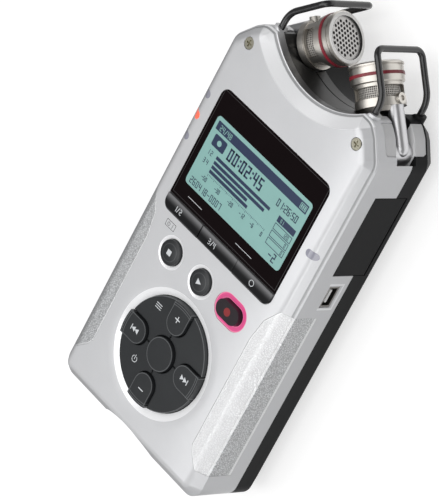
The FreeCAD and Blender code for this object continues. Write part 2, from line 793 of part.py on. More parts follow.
SOFT_UNDER = deep("glass_thick - key_travel - 0.1")
key_caps = rounded_plate("key_caps", ("-glass_half_width + key_gap", "glass_half_width - key_gap"),
                         (up("glass_low_up + key_gap"), up("glass_high_up")),
                         (SOFT_UNDER, "%s + soft_key_rise" % FRONT), "glass_corner_radius - key_gap")
key_stems = box("key_stems", ("-glass_half_width + 1.5", "glass_half_width - 1.5"),
                (up("glass_low_up + 1.3"), up("%s - 0.7" % GLASS_EDGE)), (KEY_FOOT, SOFT_UNDER + " + 0.5"))
key_row = join("key_row", key_caps, key_stems)
for i, name in enumerate(("left_soft_key", "middle_soft_key", "right_soft_key")):
    pitch = "(2 * glass_half_width / 3)"
    window = box(name + "_slice",
                 ("-glass_half_width + %d * %s + key_gap / 2" % (i, pitch),
                  "-glass_half_width + %d * %s - key_gap / 2" % (i + 1, pitch)),
                 (up("0"), up("%s - key_gap / 2" % GLASS_EDGE)), ("0", OVER))
    node(name, common(name, key_row, window))

WHEEL = ("0", up("wheel_up"))
lobe_height = "%s + lobe_rise - (%s)" % (FRONT, KEY_FOOT)


def lobe(name, angle, grow):
    """A raised key of the wheel: round at its inner end, straight-sided out to the rim."""
    tip = rod(name + "_tip", "lobe_half_width + (%s)" % grow, lobe_height, ("lobe_centre_out", "0", "0"))
    arm = doc.addObject("Part::Box", name + "_arm")
    bind(arm, Length="wheel_radius - lobe_centre_out + 1", Width="2 * (lobe_half_width + (%s))" % grow,
         Height=lobe_height)
    place(arm, "lobe_centre_out", "-lobe_half_width - (%s)" % grow, "0")
    whole = join(name + "_whole", tip, arm)
    turn(whole, (0, 0, 1), angle)
    return place(whole, *WHEEL, KEY_FOOT)


wheel_limit = rod("wheel_limit", "wheel_radius", lobe_height, (*WHEEL, KEY_FOOT))
LOBES = {"skip_forward_key": 0, "plus_key": 90, "skip_back_key": 180, "minus_key": 270}
lobe_rooms = []
for name, angle in LOBES.items():
    node(name, common(name, lobe(name, angle, "0"), wheel_limit))
    lobe_rooms.append(lobe(name + "_room", angle, "key_gap"))
node("enter_key", rod("enter_key", "enter_radius", lobe_height, (*WHEEL, KEY_FOOT)))

SECTORS = {"upper_right_key": ("", ""), "upper_left_key": ("-", ""), "lower_left_key": ("-", "-"),
           "lower_right_key": ("", "-")}
wheel_disc = rod("wheel_disc", "wheel_radius", "%s + wheel_rise - (%s)" % (FRONT, KEY_FOOT), (*WHEEL, KEY_FOOT))
enter_room = rod("enter_room", "enter_radius + key_gap", lobe_height, (*WHEEL, KEY_FOOT))
wheel_rooms = join("wheel_rooms", enter_room, *lobe_rooms)
for name, (side_x, side_y) in SECTORS.items():
    quarter = doc.addObject("Part::Box", name + "_quarter")
    bind(quarter, Length="wheel_radius", Width="wheel_radius", Height=lobe_height)
    x = "key_gap / 2" if side_x == "" else "-key_gap / 2 - wheel_radius"
    y = "wheel_up + key_gap / 2" if side_y == "" else "wheel_up - key_gap / 2 - wheel_radius"
    place(quarter, x, up(y), KEY_FOOT)
    node(name, cut(name, common(name + "_disc", wheel_disc, quarter), wheel_rooms))

# Stop, play and record

BUTTON_Y = up("button_up")
for name, x in (("stop_button", "-button_side_out"), ("play_button", "0")):
    stem = rod(name + "_stem", "button_radius", "%s + button_rise - (%s)" % (FRONT, KEY_FOOT), (x, BUTTON_Y, KEY_FOOT))
    dome = doc.addObject("Part::Sphere", name + "_dome")
    bind(dome, Radius="button_dome_radius")
    place(dome, x, BUTTON_Y, "%s + button_rise - button_dome_radius" % FRONT)
    node(name, common(name, stem, dome))
node("record_button", obround("record_button", "button_side_out", BUTTON_Y, "record_half_slot", "record_radius",
                              KEY_FOOT, "%s + record_rise" % FRONT))
ring_outer = obround("light_ring_outer", "button_side_out", BUTTON_Y, "record_half_slot",
                     "record_radius + light_ring_width", deep("front_wall"), deep("light_ring_deep / 2"))
ring_inner = obround("light_ring_inner", "button_side_out", BUTTON_Y, "record_half_slot", "record_radius + key_gap",
                     deep("front_wall + 1"), OVER)
node("record_light_ring", cut("record_light_ring", ring_outer, ring_inner))

# Indicator lenses, flush with the bevel


def lens(name, x, y, low, high):
    """One small lens bar, a little longer across the recorder than along it."""
    return obround(name, x, y, "lens_half_slot", "lens_half_width", low, high)


lens_rods = join("lens_rods", lens("peak_lens", "peak_out", up("peak_up"), deep("lens_depth + 2"), OVER), *[
    lens("left_lens_%d" % i, "-lens_out", up("lens_low_up + %d * lens_pitch" % i), deep("lens_depth + 2"), OVER)
    for i in range(3)])
node("indicator_lenses", common("indicator_lenses", lens_rods, front_blank))

# Screws of the front face

screws, screw_rooms = [], []
for sign in ("", "-"):
    at = ("%sscrew_out" % sign, up("screw_up"))
    head = rod("front_screw_head", "screw_head_radius", "screw_head_thick",
               (*at, deep("screw_head_deep + screw_head_thick")))
    shank = rod("front_screw_shank", "screw_shank_radius", "screw_length",
                (*at, deep("screw_head_deep + screw_head_thick + screw_length")))
    cross = [box("front_screw_recess", ("%s - %s" % (at[0], x), "%s + %s" % (at[0], x)),
                 ("%s - %s" % (at[1], y), "%s + %s" % (at[1], y)), (deep("screw_head_deep + screw_cross_deep"), FRONT))
             for x, y in (("screw_cross_reach", "screw_cross_half"), ("screw_cross_half", "screw_cross_reach"))]
    screws.append(cut("front_screw", join("front_screw_blank", head, shank), *cross))
    screw_rooms.append(rod("screw_counterbore", "screw_head_radius + part_gap", "4",
                           (*at, deep("screw_head_deep + screw_head_thick"))))
    screw_rooms.append(rod("screw_hole", "screw_shank_radius", "9", (*at, deep("9"))))
node("front_screws", join("front_screws", *screws))

# Front shell

cavity_low = rounded_plate("front_cavity_low", ("-%s + shell_wall" % HALF, "%s - shell_wall" % HALF),
                           (up("end_wall"), up("cavity_top_up")), ("%s - 1" % SEAM, deep("cavity_step")), "3.0")
cavity_high = rounded_plate("front_cavity_high",
                            ("-%s + side_bevel_in + 1.1" % HALF, "%s - side_bevel_in - 1.1" % HALF),
                            (up("end_wall + 3"), up("cavity_top_up")), (deep("cavity_step + 1"), deep("front_wall")),
                            "3.0")
dish_wide = "wheel_radius + key_gap + wheel_dish_width"
front_tools = [
    cradle, cavity_low, cavity_high, window_recess("0"),
    low_cut("lcd_opening", ("-lcd_half_width", "lcd_half_width"), (up("lcd_low_up"), up("lcd_high_up"))),
    low_cut("soft_key_opening", ("-glass_half_width + 1", "glass_half_width - 1"),
            (up("glass_low_up + 0.8"), up("%s - 0.2" % GLASS_EDGE))),
    rod("wheel_hole", "wheel_radius + key_gap", "front_wall + 4", (*WHEEL, deep("front_wall + 1"))),
    cone("wheel_dish", "wheel_radius + key_gap", dish_wide, "wheel_dish_deep", (*WHEEL, deep("wheel_dish_deep"))),
    obround("record_hole", "button_side_out", BUTTON_Y, "record_half_slot",
            "record_radius + light_ring_width + 0.02", deep("front_wall + 1"), OVER),
    lens_rods, *screw_rooms, right_grip, left_grip,
]
for name, x in (("stop", "-button_side_out"), ("play", "0")):
    front_tools.append(rod(name + "_hole", "button_radius + key_gap", "front_wall + 4",
                           (x, BUTTON_Y, deep("front_wall + 1"))))
    front_tools.append(cone(name + "_dish", "button_radius + key_gap", "button_radius + key_gap + button_dish",
                            "button_dish / 2", (x, BUTTON_Y, deep("button_dish / 2"))))
scoop = doc.addObject("Part::Sphere", "scoop")
bind(scoop, Radius="scoop_radius")
place(scoop, "0", up("-scoop_below"), "%s + scoop_above" % FRONT)
front_tools.append(scoop)
front_body = join("front_body", front_blank, collar("right_front_collar", "", FRONT_LEG),
                  collar("left_front_collar", "-", FRONT_LEG))
front_tools.append(valley_liner("liner_room", "hinge_gap"))
front_shell = node("front_shell", cut("front_shell", front_body, *front_tools, *mic_tools, *leg_holes, *side_tools))

# Rear shell: a deep tray with bevelled edges, feet, screw bosses, a battery opening and speaker holes

rear_blank = casing("rear_blank", REAR, SEAM)
rear_bottom = rear_blank.Tip.Shape.BoundBox.ZMin
bevel_edges(rear_blank, level_edges(rear_blank.Tip.Shape, rear_bottom), "rear_bevel_in", "rear_bevel_high")

rear_cavity_low = rounded_plate(
    "rear_cavity_low", ("-%s + rear_bevel_in + 1.2" % HALF, "%s - rear_bevel_in - 1.2" % HALF),
    (up("end_wall + rear_bevel_in"), up("cavity_top_up")),
    ("%s + rear_wall" % REAR, "%s + rear_bevel_high + 1.2" % REAR), "3.0")
rear_cavity_high = rounded_plate(
    "rear_cavity_high", ("-%s + shell_wall" % HALF, "%s - shell_wall" % HALF),
    (up("end_wall"), up("cavity_top_up")), ("%s + rear_bevel_high" % REAR, "%s + 1" % SEAM), "3.0")


def foot(name, low, high):
    """A low pad across the back, which the recorder rests on."""
    return rounded_plate(name, ("-foot_half_width", "foot_half_width"), (up(low), up(high)),
                         ("0", "%s + 0.6" % REAR), "foot_corner_radius")


BOARD_LOW = deep("board_deep + board_thick")
WALL_TOP = "(%s + rear_wall)" % REAR
bosses = [rod("low_screw_boss", "rear_boss_radius", "%s - %s + 1" % (SEAM, WALL_TOP),
              ("0", up("rear_screw_low_up"), WALL_TOP + " - 1"))]
for sign in ("", "-"):
    for y in ("post_low_up", "post_high_up"):
        bosses.append(rod("board_post", "post_radius", "%s - %s + 0.4" % (BOARD_LOW, WALL_TOP),
                          ("%s post_out" % sign, up(y), WALL_TOP + " - 0.4")))
rear_screw_places = (("rear_screw_out", "rear_screw_up"), ("-rear_screw_out", "rear_screw_up"),
                     ("0", "rear_screw_low_up"))
rear_screws, rear_screw_rooms = [], []
for x, y in rear_screw_places:
    rear_screws.append(join("rear_screw", rod("rear_screw_head", "rear_screw_radius", "screw_head_thick",
                                              (x, up(y), "%s + screw_head_deep" % REAR)),
                            rod("rear_screw_shank", "screw_shank_radius", "rear_screw_length",
                                (x, up(y), "%s + screw_head_deep" % REAR))))
    rear_screw_rooms.append(rod("rear_counterbore", "rear_screw_radius + part_gap",
                                "screw_head_deep + screw_head_thick + 1", (x, up(y), "%s - 1" % REAR)))
    rear_screw_rooms.append(rod("rear_screw_hole", "screw_shank_radius", "rear_screw_length + 0.5",
                                (x, up(y), REAR)))
node("rear_screws", join("rear_screws", *rear_screws))

COVER_TOP = "%s + cover_thick" % REAR
CELL_Z = "(%s + cell_radius + 0.3)" % COVER_TOP
CELL_PITCH = "(2 * cell_radius + cell_gap)"
CELL_END = "(cell_length / 2 + cell_nub_length / 2 + cell_end_room)"
BAY_SIDE = "%s + contact_thick" % CELL_END
BAY_LOW, BAY_HIGH = "(cell_low_up - cell_gap)", "(cell_low_up + 3 * %s)" % CELL_PITCH
BAY_TOP = "%s + cell_radius + 0.2" % CELL_Z
bay_room = box("bay_room", ("-(%s)" % BAY_SIDE, BAY_SIDE), (up(BAY_LOW), up(BAY_HIGH)), (REAR, BAY_TOP))
bay_outer = box("bay_outer", ("-(%s) - bay_wall" % BAY_SIDE, "%s + bay_wall" % BAY_SIDE),
                (up(BAY_LOW + " - bay_wall"), up(BAY_HIGH + " + bay_wall")),
                (WALL_TOP + " - 0.2", BAY_TOP + " + bay_wall"))
cover_recess = rounded_plate(
    "cover_recess", ("-cover_half_width - part_gap", "cover_half_width + part_gap"),
    (up("cover_low_up - cover_slide - part_gap"), up("cover_high_up + part_gap")),
    ("-1", "%s + part_gap" % COVER_TOP), "1.5")
cover_mouth = rounded_plate(
    "cover_mouth", ("-cover_half_width + cover_ledge", "cover_half_width - cover_ledge"),
    (up("cover_low_up + cover_ledge"), up("cover_high_up - cover_ledge")), ("-1", "%s + rear_wall + 1" % REAR), "1.0")
tripod_room = rod("tripod_room", "tripod_boss_radius", "20", ("0", up("tripod_up"), "-1"))

speaker_x, speaker_y = "speaker_out", up("speaker_up")
speaker_holes = []
for ring, count in ((0, 1), (1, 6), (2, 12)):
    for k in range(count):
        angle = 2 * math.pi * k / count
        at = ("speaker_out + speaker_radius * %.4f" % (0.34 * ring * math.cos(angle)),
              up("speaker_up + speaker_radius * %.4f" % (0.34 * ring * math.sin(angle))), "-1")
        speaker_holes.append(six_sided("speaker_hole", "speaker_hole_radius", "rear_wall + 4", at))
rear_body = join("rear_body",
                 cut("rear_tray", rear_blank, rear_cavity_low, rear_cavity_high),
                 foot("low_foot", "foot_low_up", "foot_high_up"), foot("ridge_foot", "ridge_low_up", "ridge_high_up"),
                 collar("right_rear_collar", "", REAR_LEG), collar("left_rear_collar", "-", REAR_LEG),
                 cut("battery_bay", bay_outer, bay_room), *bosses)
rear_shell = node("rear_shell", cut("rear_shell", rear_body, cradle, cover_recess, cover_mouth, tripod_room,
                                    *speaker_holes, *rear_screw_rooms, *mic_tools, *leg_holes, *side_tools))

# Battery cover, cells and contacts

cover_plate = rounded_plate("cover_plate", ("-cover_half_width", "cover_half_width"),
                            (up("cover_low_up"), up("cover_high_up")), (REAR, COVER_TOP), "1.3")
thumb_grooves = [box("thumb_groove_%d" % i, ("-8", "8"),
                     (up("cover_low_up + 3 + %s" % (1.6 * i)), up("cover_low_up + 3.8 + %s" % (1.6 * i))),
                     ("%s - 1" % REAR, "%s + 0.4" % REAR)) for i in range(4)]
node("battery_cover", cut("battery_cover", cover_plate, *thumb_grooves))

cans, contacts = [], []
for i in range(3):
    y = up("cell_low_up + cell_radius + %d * %s" % (i, CELL_PITCH))
    side, along = (-1, "-X") if i % 2 else (1, "X")
    cans.append(rod("cell_can", "cell_radius", "cell_length",
                    ("%d * (-cell_length / 2 - cell_nub_length / 2)" % side, y, CELL_Z), along))
    cans.append(rod("cell_nub", "cell_nub_radius", "cell_nub_length",
                    ("%d * (cell_length / 2 - cell_nub_length / 2)" % side, y, CELL_Z), along))
    contacts.append(box("contact", (CELL_END, "%s + contact_thick" % CELL_END),
                        ("%s - contact_half_width" % y, "%s + contact_half_width" % y),
                        ("%s - contact_half_width" % CELL_Z, "%s + contact_half_width" % CELL_Z)))
node("battery_cells", join("battery_cells", *cans))
right_contacts = join("right_contacts", *contacts)
node("battery_contacts", join("battery_contacts", right_contacts, mirrored("left_contacts", right_contacts)))

# Boards, speaker, tripod insert

node("main_board", box("main_board", ("-board_half_width", "board_half_width"),
                       (up("board_low_up"), up("board_high_up")), (BOARD_LOW, deep("board_deep"))))
node("key_board", box("key_board", ("-key_board_half_width", "key_board_half_width"),
                      (up("key_board_low_up"), up("key_board_high_up")),
                      (deep("key_board_deep + key_board_thick"), deep("key_board_deep"))))
node("speaker", rod("speaker", "speaker_radius", "speaker_thick",
                    (speaker_x, speaker_y, "%s + rear_wall" % REAR)))
tripod_body = rod("tripod_body", "tripod_boss_radius", "tripod_length + 1.5", ("0", up("tripod_up"), "screw_head_deep"))
tripod_bore = rod("tripod_bore", "tripod_radius", "tripod_length", ("0", up("tripod_up"), "screw_head_deep"))
node("tripod_insert", cut("tripod_insert", tripod_body, tripod_bore))

# Microphone bracket, pivot pins and arms

block = common("hinge_block_blank", hinge_pocket("hinge_block_form", "hinge_gap"),
               casing("hinge_block_limit", "0", FRONT, "0.3"))
PIN_LOW = "%s - pivot_pin_length / 2" % MID
pin = rod("pivot_pin", "pivot_pin_radius", "pivot_pin_length", (*PIVOT, PIN_LOW))
pins = node("pivot_pins", join("pivot_pins", pin, mirrored("left_pin", pin)))
liner = valley_liner("valley_liner", "0")
groove = rod("liner_groove", "cradle_radius + liner_groove_wide", "liner_groove_wide",
             (*CRADLE_CENTRE, "liner_groove_up"))
bracket_blank = join("bracket_blank", liner, *both_sides("hinge_block_pair", block))
leg_room = rod("leg_room", "guard_wire_radius + leg_clear", "overall_length - guard_root_up",
               ("guard_leg_out", up("guard_root_up - leg_clear"), FRONT_LEG), "Y")
node("mic_bracket", cut("mic_bracket", bracket_blank, cradle, groove, *mic_tools[2:], *both_sides("leg_room", leg_room),
                        pins))


def mic_rod(name, radius, low, high, x="0"):
    """A rod of the right microphone, beside its axis and between two heights from its base."""
    bar = rod(name, radius, "(%s) - (%s)" % (high, low), ("0", "0", "0"))
    bar.Placement.Rotation = MIC_TURN
    along = "((%s) * %s)" % (low, LEAN)
    aside = "((%s) * %s)" % (x, LEAN)
    return place(bar, "%s - %s + %s" % (BASE_OUT, along, aside), up("%s + %s + %s" % (BASE_UP, along, aside)), MID)


tube = mic_rod("arm_tube", "arm_radius", PIVOT_BACK + " + 0.6", "base_length", "arm_offset")
heel = doc.addObject("Part::Sphere", "arm_heel")
bind(heel, Radius="arm_radius")
place(heel, "pivot_out + (arm_offset - %s - 0.6) * %s" % (PIVOT_SIDE, LEAN),
      up("pivot_up + (arm_offset - %s + 0.6) * %s" % (PIVOT_SIDE, LEAN)), MID)
knuckle = rod("arm_knuckle", "knuckle_radius", "arm_width", (*PIVOT, "%s - arm_width / 2" % MID))
pin_room = rod("arm_pin_room", "pivot_pin_radius + running_clearance", "arm_width + 2",
               (*PIVOT, "%s - arm_width / 2 - 1" % MID))
right_arm = node("right_mic_arm", cut("right_mic_arm", join("arm_blank", tube, heel, knuckle), pin_room))

# The right capsule, drawn along +Z from its base

cage_inner = "(cage_radius - cage_wall)"
clamp_top = "(base_length + clamp_length)"
cage_blank = revolve("cage_blank", [
    ("0", "0"), ("base_end_radius", "0"), ("base_radius", "base_length"), ("clamp_radius", "base_length"),
    ("clamp_radius", clamp_top), ("cage_radius", clamp_top), ("cage_radius", "cage_length"),
    (cage_inner, "cage_length"), (cage_inner, "base_length"), ("0", "base_length")])
windows = []
for i, (across, deep_way) in enumerate((("window_width", "3 * cage_radius"), ("3 * cage_radius", "window_width"))):
    windows.append(box("cage_window_%d" % i, ("-%s / 2" % across, "%s / 2" % across),
                       ("-%s / 2" % deep_way, "%s / 2" % deep_way),
                       (clamp_top + " + 0.3", clamp_top + " + 0.3 + window_length")))
arm_seat = rod("arm_seat", "arm_radius", "base_length", ("arm_offset", "0", "0"))
clamp_screw = rod("clamp_screw", "clamp_screw_radius", "clamp_radius + clamp_screw_rise - cage_radius + 0.6",
                  ("cage_radius - 0.6", "0", "base_length + clamp_length / 2 + 0.6"), "X")
window_core = rod("window_core", cage_inner, "cage_length", ("0", "0", "base_length"))
windowed = cut("windowed_cage", cage_blank, *windows, arm_seat)
right_cage = node("right_mic_cage", on_microphone(cut("right_mic_cage", join("cage_body", windowed, cut(
    "clamp_screw_head", clamp_screw, window_core)), rod(
        "clamp_screw_socket", "clamp_screw_radius / 2", "2", ("clamp_radius + clamp_screw_rise - 0.5", "0",
                                                              "base_length + clamp_length / 2 + 0.6"), "X"))))

mesh_outer = "(%s - 0.1)" % cage_inner
right_mesh = node("right_mic_mesh", on_microphone(revolve("right_mic_mesh", [
    ("%s - mesh_wall" % mesh_outer, "base_length"), (mesh_outer, "base_length"),
    (mesh_outer, "cage_length + mesh_overlap"), ("%s - mesh_wall" % mesh_outer, "cage_length + mesh_overlap")])))

band_low = "(cage_length + band_start)"
ring_low = "(capsule_length - front_ring_length)"
right_cap = node("right_mic_cap", on_microphone(revolve("right_mic_cap", [
    ("cap_bore", "cage_length"), ("cap_radius - 0.3", "cage_length"), ("cap_radius", "cage_length + 0.3"),
    ("cap_radius", band_low), ("cap_radius - band_groove", band_low),
    ("cap_radius - band_groove", band_low + " + band_length"), ("cap_radius", band_low + " + band_length"),
    ("cap_radius", ring_low + " - groove_length"), ("cap_radius - groove_depth", ring_low + " - groove_length"),
    ("cap_radius - groove_depth", ring_low), ("capsule_radius", ring_low),
    ("capsule_radius", "capsule_length - front_ring_bevel"),
    ("capsule_radius - front_ring_bevel", "capsule_length"), ("cap_bore", "capsule_length")])))
right_band = node("right_mic_band", on_microphone(revolve("right_mic_band", [
    ("cap_radius - band_groove", band_low), ("capsule_radius - 0.1", band_low),
    ("capsule_radius - 0.1", band_low + " + band_length"),
    ("cap_radius - band_groove", band_low + " + band_length")])))


def grille():
    """A thin disc with six-sided holes packed as a honeycomb, each hole an upright six-sided bar cut out."""
    disc = rod("grille_disc", "cap_bore", "grille_thick", ("0", "0", "0"))
    steps = int(size("cap_bore") / size("grille_pitch")) + 1
    reach = size("cap_bore") - size("grille_hole_radius") - size("grille_border")
    holes = []
    for row_step in range(-steps, steps + 1):
        for k in range(-2 * steps, 2 * steps + 1):
            x = k + 0.5 * (row_step % 2)
            y = row_step * math.sqrt(0.75)
            if math.hypot(x, y) * size("grille_pitch") < reach:
                holes.append(six_sided("grille_hole", "grille_hole_radius", "grille_thick",
                                       ("grille_pitch * %.4f" % x, "grille_pitch * %.4f" % y, "0")))
    plate = cut("right_mic_grille", disc, *holes)
    rise = "(capsule_length - grille_recess - grille_thick)"
    plate.Placement.Rotation = MIC_TURN
    return place(plate, "%s - %s * %s" % (BASE_OUT, rise, LEAN), up("%s + %s * %s" % (BASE_UP, rise, LEAN)), MID)


right_grille = node("right_mic_grille", grille())
for piece in (right_arm, right_cage, right_mesh, right_cap, right_band, right_grille):
    name = "left" + piece.Label[5:]
    node(name, mirrored(name, piece))

# Wire guards: one bent wire a side, two legs joined by a bar over the capsule


def wire_guard():
    """The right guard, swept along straight runs joined by round bends."""
    front_z = size("front_height") - size("mic_deep") + size("guard_half_gap")
    rear_z = front_z - 2 * size("guard_half_gap")
    bottom = -size("overall_length") / 2
    bar_y = -bottom - size("guard_wire_radius")
    bend_y = bar_y + size("guard_bar_out") - size("guard_leg_out")
    leg_x, bar_x = size("guard_leg_out"), size("guard_bar_out")
    root_y = bottom + size("guard_root_up")
    corners = [FreeCAD.Vector(leg_x, root_y, front_z), FreeCAD.Vector(leg_x, bend_y, front_z),
               FreeCAD.Vector(bar_x, bar_y, front_z), FreeCAD.Vector(bar_x, bar_y, rear_z),
               FreeCAD.Vector(leg_x, bend_y, rear_z), FreeCAD.Vector(leg_x, root_y, rear_z)]
    edges = []
    at = corners[0]
    leg_bend, bar_bend = size("guard_leg_bend_radius"), size("guard_bend_radius")
    bends = (leg_bend, bar_bend, bar_bend, leg_bend)
    for before, corner, after, radius in zip(corners, corners[1:], corners[2:], bends):
        arriving, leaving = (corner - before).normalize(), (after - corner).normalize()
        half_turn = arriving.getAngle(leaving) / 2
        reach = radius * math.tan(half_turn)
        enter, leave = corner - arriving * reach, corner + leaving * reach
        inward = (leaving - arriving).normalize()
        middle = corner + inward * (radius * (1 / math.cos(half_turn) - 1))
        edges.append(Part.LineSegment(at, enter).toShape())
        edges.append(Part.Arc(enter, middle, leave).toShape())
        at = leave
    edges.append(Part.LineSegment(at, corners[-1]).toShape())
    section = Part.Wire([Part.Circle(corners[0], FreeCAD.Vector(0, 1, 0), size("guard_wire_radius")).toShape()])
    guard = doc.addObject("Part::Feature", "right_mic_guard")
    guard.Shape = Part.Wire(edges).makePipeShell([section], True, False)
    return guard


right_guard = node("right_mic_guard", wire_guard())
node("left_mic_guard", mirrored("left_mic_guard", right_guard))

# Card door and slot, USB socket

HINGE_X = "(%s - door_hinge_radius)" % HALF
HINGE_Z = "(%s + door_hinge_radius)" % deep("door_rear_deep")
door_plate = box("door_plate", ("%s - door_thick" % HALF, HALF), (up("door_low_up"), up("door_high_up")),
                 (HINGE_Z, deep("door_front_deep")))
door_barrel = rod("door_barrel", "door_hinge_radius", "door_high_up - door_low_up",
                  (HINGE_X, up("door_low_up"), HINGE_Z), "Y")
node("card_door", join("card_door", door_plate, door_barrel))

SLOT_TOP = BOARD_LOW
slot_low = "%s - card_thick - 2 * card_slot_wall" % SLOT_TOP
door_middle = "(door_low_up + door_high_up) / 2"
slot_body = box("slot_body", ("%s - shell_wall - 0.6 - card_depth" % HALF, "%s - shell_wall - 0.6" % HALF),
                (up("%s - card_width / 2 - card_slot_wall" % door_middle),
                 up("%s + card_width / 2 + card_slot_wall" % door_middle)), (slot_low, SLOT_TOP))
slot_room = box("slot_room", ("%s - shell_wall - card_depth" % HALF, HALF),
                (up("%s - card_width / 2" % door_middle), up("%s + card_width / 2" % door_middle)),
                ("%s + card_slot_wall" % slot_low, "%s - card_slot_wall" % SLOT_TOP))
node("card_slot", cut("card_slot", slot_body, slot_room))

USB_FACE = "(%s - part_gap)" % HALF
usb_box = box("usb_box", ("%s - usb_length" % USB_FACE, USB_FACE), (up("usb_low_up"), up("usb_high_up")),
              (deep("usb_rear_deep"), deep("usb_front_deep")))
usb_room = box("usb_room", ("%s - usb_length + 1" % USB_FACE, "%s + 1" % USB_FACE),
               (up("usb_low_up + usb_wall"), up("usb_high_up - usb_wall")),
               (deep("usb_rear_deep - usb_wall"), deep("usb_front_deep + usb_wall")))
usb_tongue = box("usb_tongue", ("%s - usb_length + 0.5" % USB_FACE, "%s - 1" % USB_FACE),
                 (up("usb_low_up + usb_wall + 0.9"), up("usb_high_up - usb_wall - 0.9")),
                 (deep("(usb_rear_deep + usb_front_deep) / 2 + 0.4"),
                  deep("(usb_rear_deep + usb_front_deep) / 2 - 0.4")))
usb_mount = box("usb_mount", ("%s - usb_length" % USB_FACE, "board_half_width"),
                (up("usb_low_up"), up("usb_high_up")), (deep("usb_front_deep + 0.1"), BOARD_LOW))
node("usb_socket", join("usb_socket", cut("usb_frame", usb_box, usb_room), usb_tongue, usb_mount))

# Left side: headphone socket, two rockers and the hold slider

SIDE_Z = deep("side_socket_deep")
SOCKET_FACE = "(-%s + part_gap)" % HALF
phone_body = box("phone_body", ("-%s + shell_wall + 0.3" % HALF, "%s + headphone_length + 1.5" % SOCKET_FACE),
                 (up("headphone_up - headphone_half_width"), up("headphone_up + headphone_half_width")),
                 (deep("headphone_low_deep"), BOARD_LOW))
phone_collar = rod("phone_collar", "headphone_collar - 0.1", "shell_wall + 1",
                   (SOCKET_FACE, up("headphone_up"), SIDE_Z), "X")
phone_bore = rod("phone_bore", "headphone_radius", "headphone_length", (SOCKET_FACE, up("headphone_up"), SIDE_Z), "X")
node("headphone_socket", cut("headphone_socket", join("phone_blank", phone_body, phone_collar), phone_bore))


def side_key(name, middle, length, width, rise, inside):
    """A key that stands out of the left side."""
    return box(name, ("-%s - %s" % (HALF, rise), "-%s + %s" % (HALF, inside)),
               (up("%s - %s / 2" % (middle, length)), up("%s + %s / 2" % (middle, length))),
               (deep("side_socket_deep + %s / 2" % width), deep("side_socket_deep - %s / 2" % width)))


for name, middle in (("volume_rocker", "volume_up"), ("level_rocker", "level_up")):
    bar = side_key(name + "_bar", middle, "rocker_length", "rocker_width", "rocker_rise", "rocker_inside")
    dip = rod(name + "_dip", "rocker_length", "rocker_width + 2",
              ("-%s - rocker_rise - rocker_length + 0.5" % HALF, up(middle),
               deep("side_socket_deep + rocker_width / 2 + 1")))
    node(name, cut(name, bar, dip))
node("hold_slider", side_key("hold_slider", "hold_up", "hold_length", "hold_width", "hold_rise", "rocker_inside"))

# Bottom end: two combination sockets with their release tabs

case = join("case", front_blank, rear_blank)
for side, tag in ((1, "right"), (-1, "left")):
    at = ("%d * jack_out" % side, up("jack_set_back"), JACK_Z)
    barrel = common(tag + "_jack_barrel", rod(tag + "_jack_rod", "jack_radius - 0.02", "jack_length", at, "Y"), case)
    bore = rod(tag + "_jack_bore", "plug_bore_radius", "plug_bore_length", at, "Y")
    moat = cut(tag + "_jack_moat", rod(tag + "_moat_outer", "pin_ring_outer", "pin_ring_deep", at, "Y"),
               rod(tag + "_moat_inner", "pin_ring_inner", "pin_ring_deep", at, "Y"))
    node(tag + "_combo_socket", cut(tag + "_combo_socket", barrel, bore, moat))
    x = "%d * tab_out" % side
    node(tag + "_release_tab", box(tag + "_release_tab", ("%s - tab_half_width" % x, "%s + tab_half_width" % x),
                                   (up("tab_set_back"), up("tab_set_back + tab_length")),
                                   ("%s - tab_half_height" % JACK_Z, "%s + tab_half_height" % JACK_Z)))

doc.recompute()
for obj in doc.Objects:
    if "Invalid" in obj.State or "Error" in obj.State:
        raise SystemExit("failed: %s %s" % (obj.Name, obj.State))
os.makedirs("parts", exist_ok=True)
for piece in NODES:
    if piece.Shape.isNull() or not piece.Shape.isValid():
        raise SystemExit("bad shape: %s" % piece.Label)
    piece.Shape.exportStep("parts/%s.step" % piece.Label)
    print(piece.Label, len(piece.Shape.Solids), round(piece.Shape.Volume), piece.Shape.BoundBox)
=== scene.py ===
import math

import bpy
import numpy as np
from mathutils import Matrix, Vector


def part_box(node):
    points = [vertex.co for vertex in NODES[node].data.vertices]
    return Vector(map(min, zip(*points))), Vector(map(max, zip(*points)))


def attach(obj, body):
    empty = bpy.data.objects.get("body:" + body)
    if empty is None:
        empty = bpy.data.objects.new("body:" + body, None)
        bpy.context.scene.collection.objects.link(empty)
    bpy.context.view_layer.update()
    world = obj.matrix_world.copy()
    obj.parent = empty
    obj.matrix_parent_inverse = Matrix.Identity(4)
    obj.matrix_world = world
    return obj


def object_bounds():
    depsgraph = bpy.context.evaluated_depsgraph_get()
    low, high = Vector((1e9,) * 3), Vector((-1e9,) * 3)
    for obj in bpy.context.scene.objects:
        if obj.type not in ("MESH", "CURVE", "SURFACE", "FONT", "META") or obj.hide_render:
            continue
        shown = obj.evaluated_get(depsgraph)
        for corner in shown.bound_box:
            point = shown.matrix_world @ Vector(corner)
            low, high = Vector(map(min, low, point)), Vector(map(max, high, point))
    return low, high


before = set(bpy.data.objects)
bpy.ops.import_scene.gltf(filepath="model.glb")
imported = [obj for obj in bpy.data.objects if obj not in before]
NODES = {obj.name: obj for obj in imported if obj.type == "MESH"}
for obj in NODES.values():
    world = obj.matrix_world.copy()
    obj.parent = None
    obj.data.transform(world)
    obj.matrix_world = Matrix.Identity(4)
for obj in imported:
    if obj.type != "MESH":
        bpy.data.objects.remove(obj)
CAD_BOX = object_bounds()
MM = 0.001

# Places in the frame, in millimetres

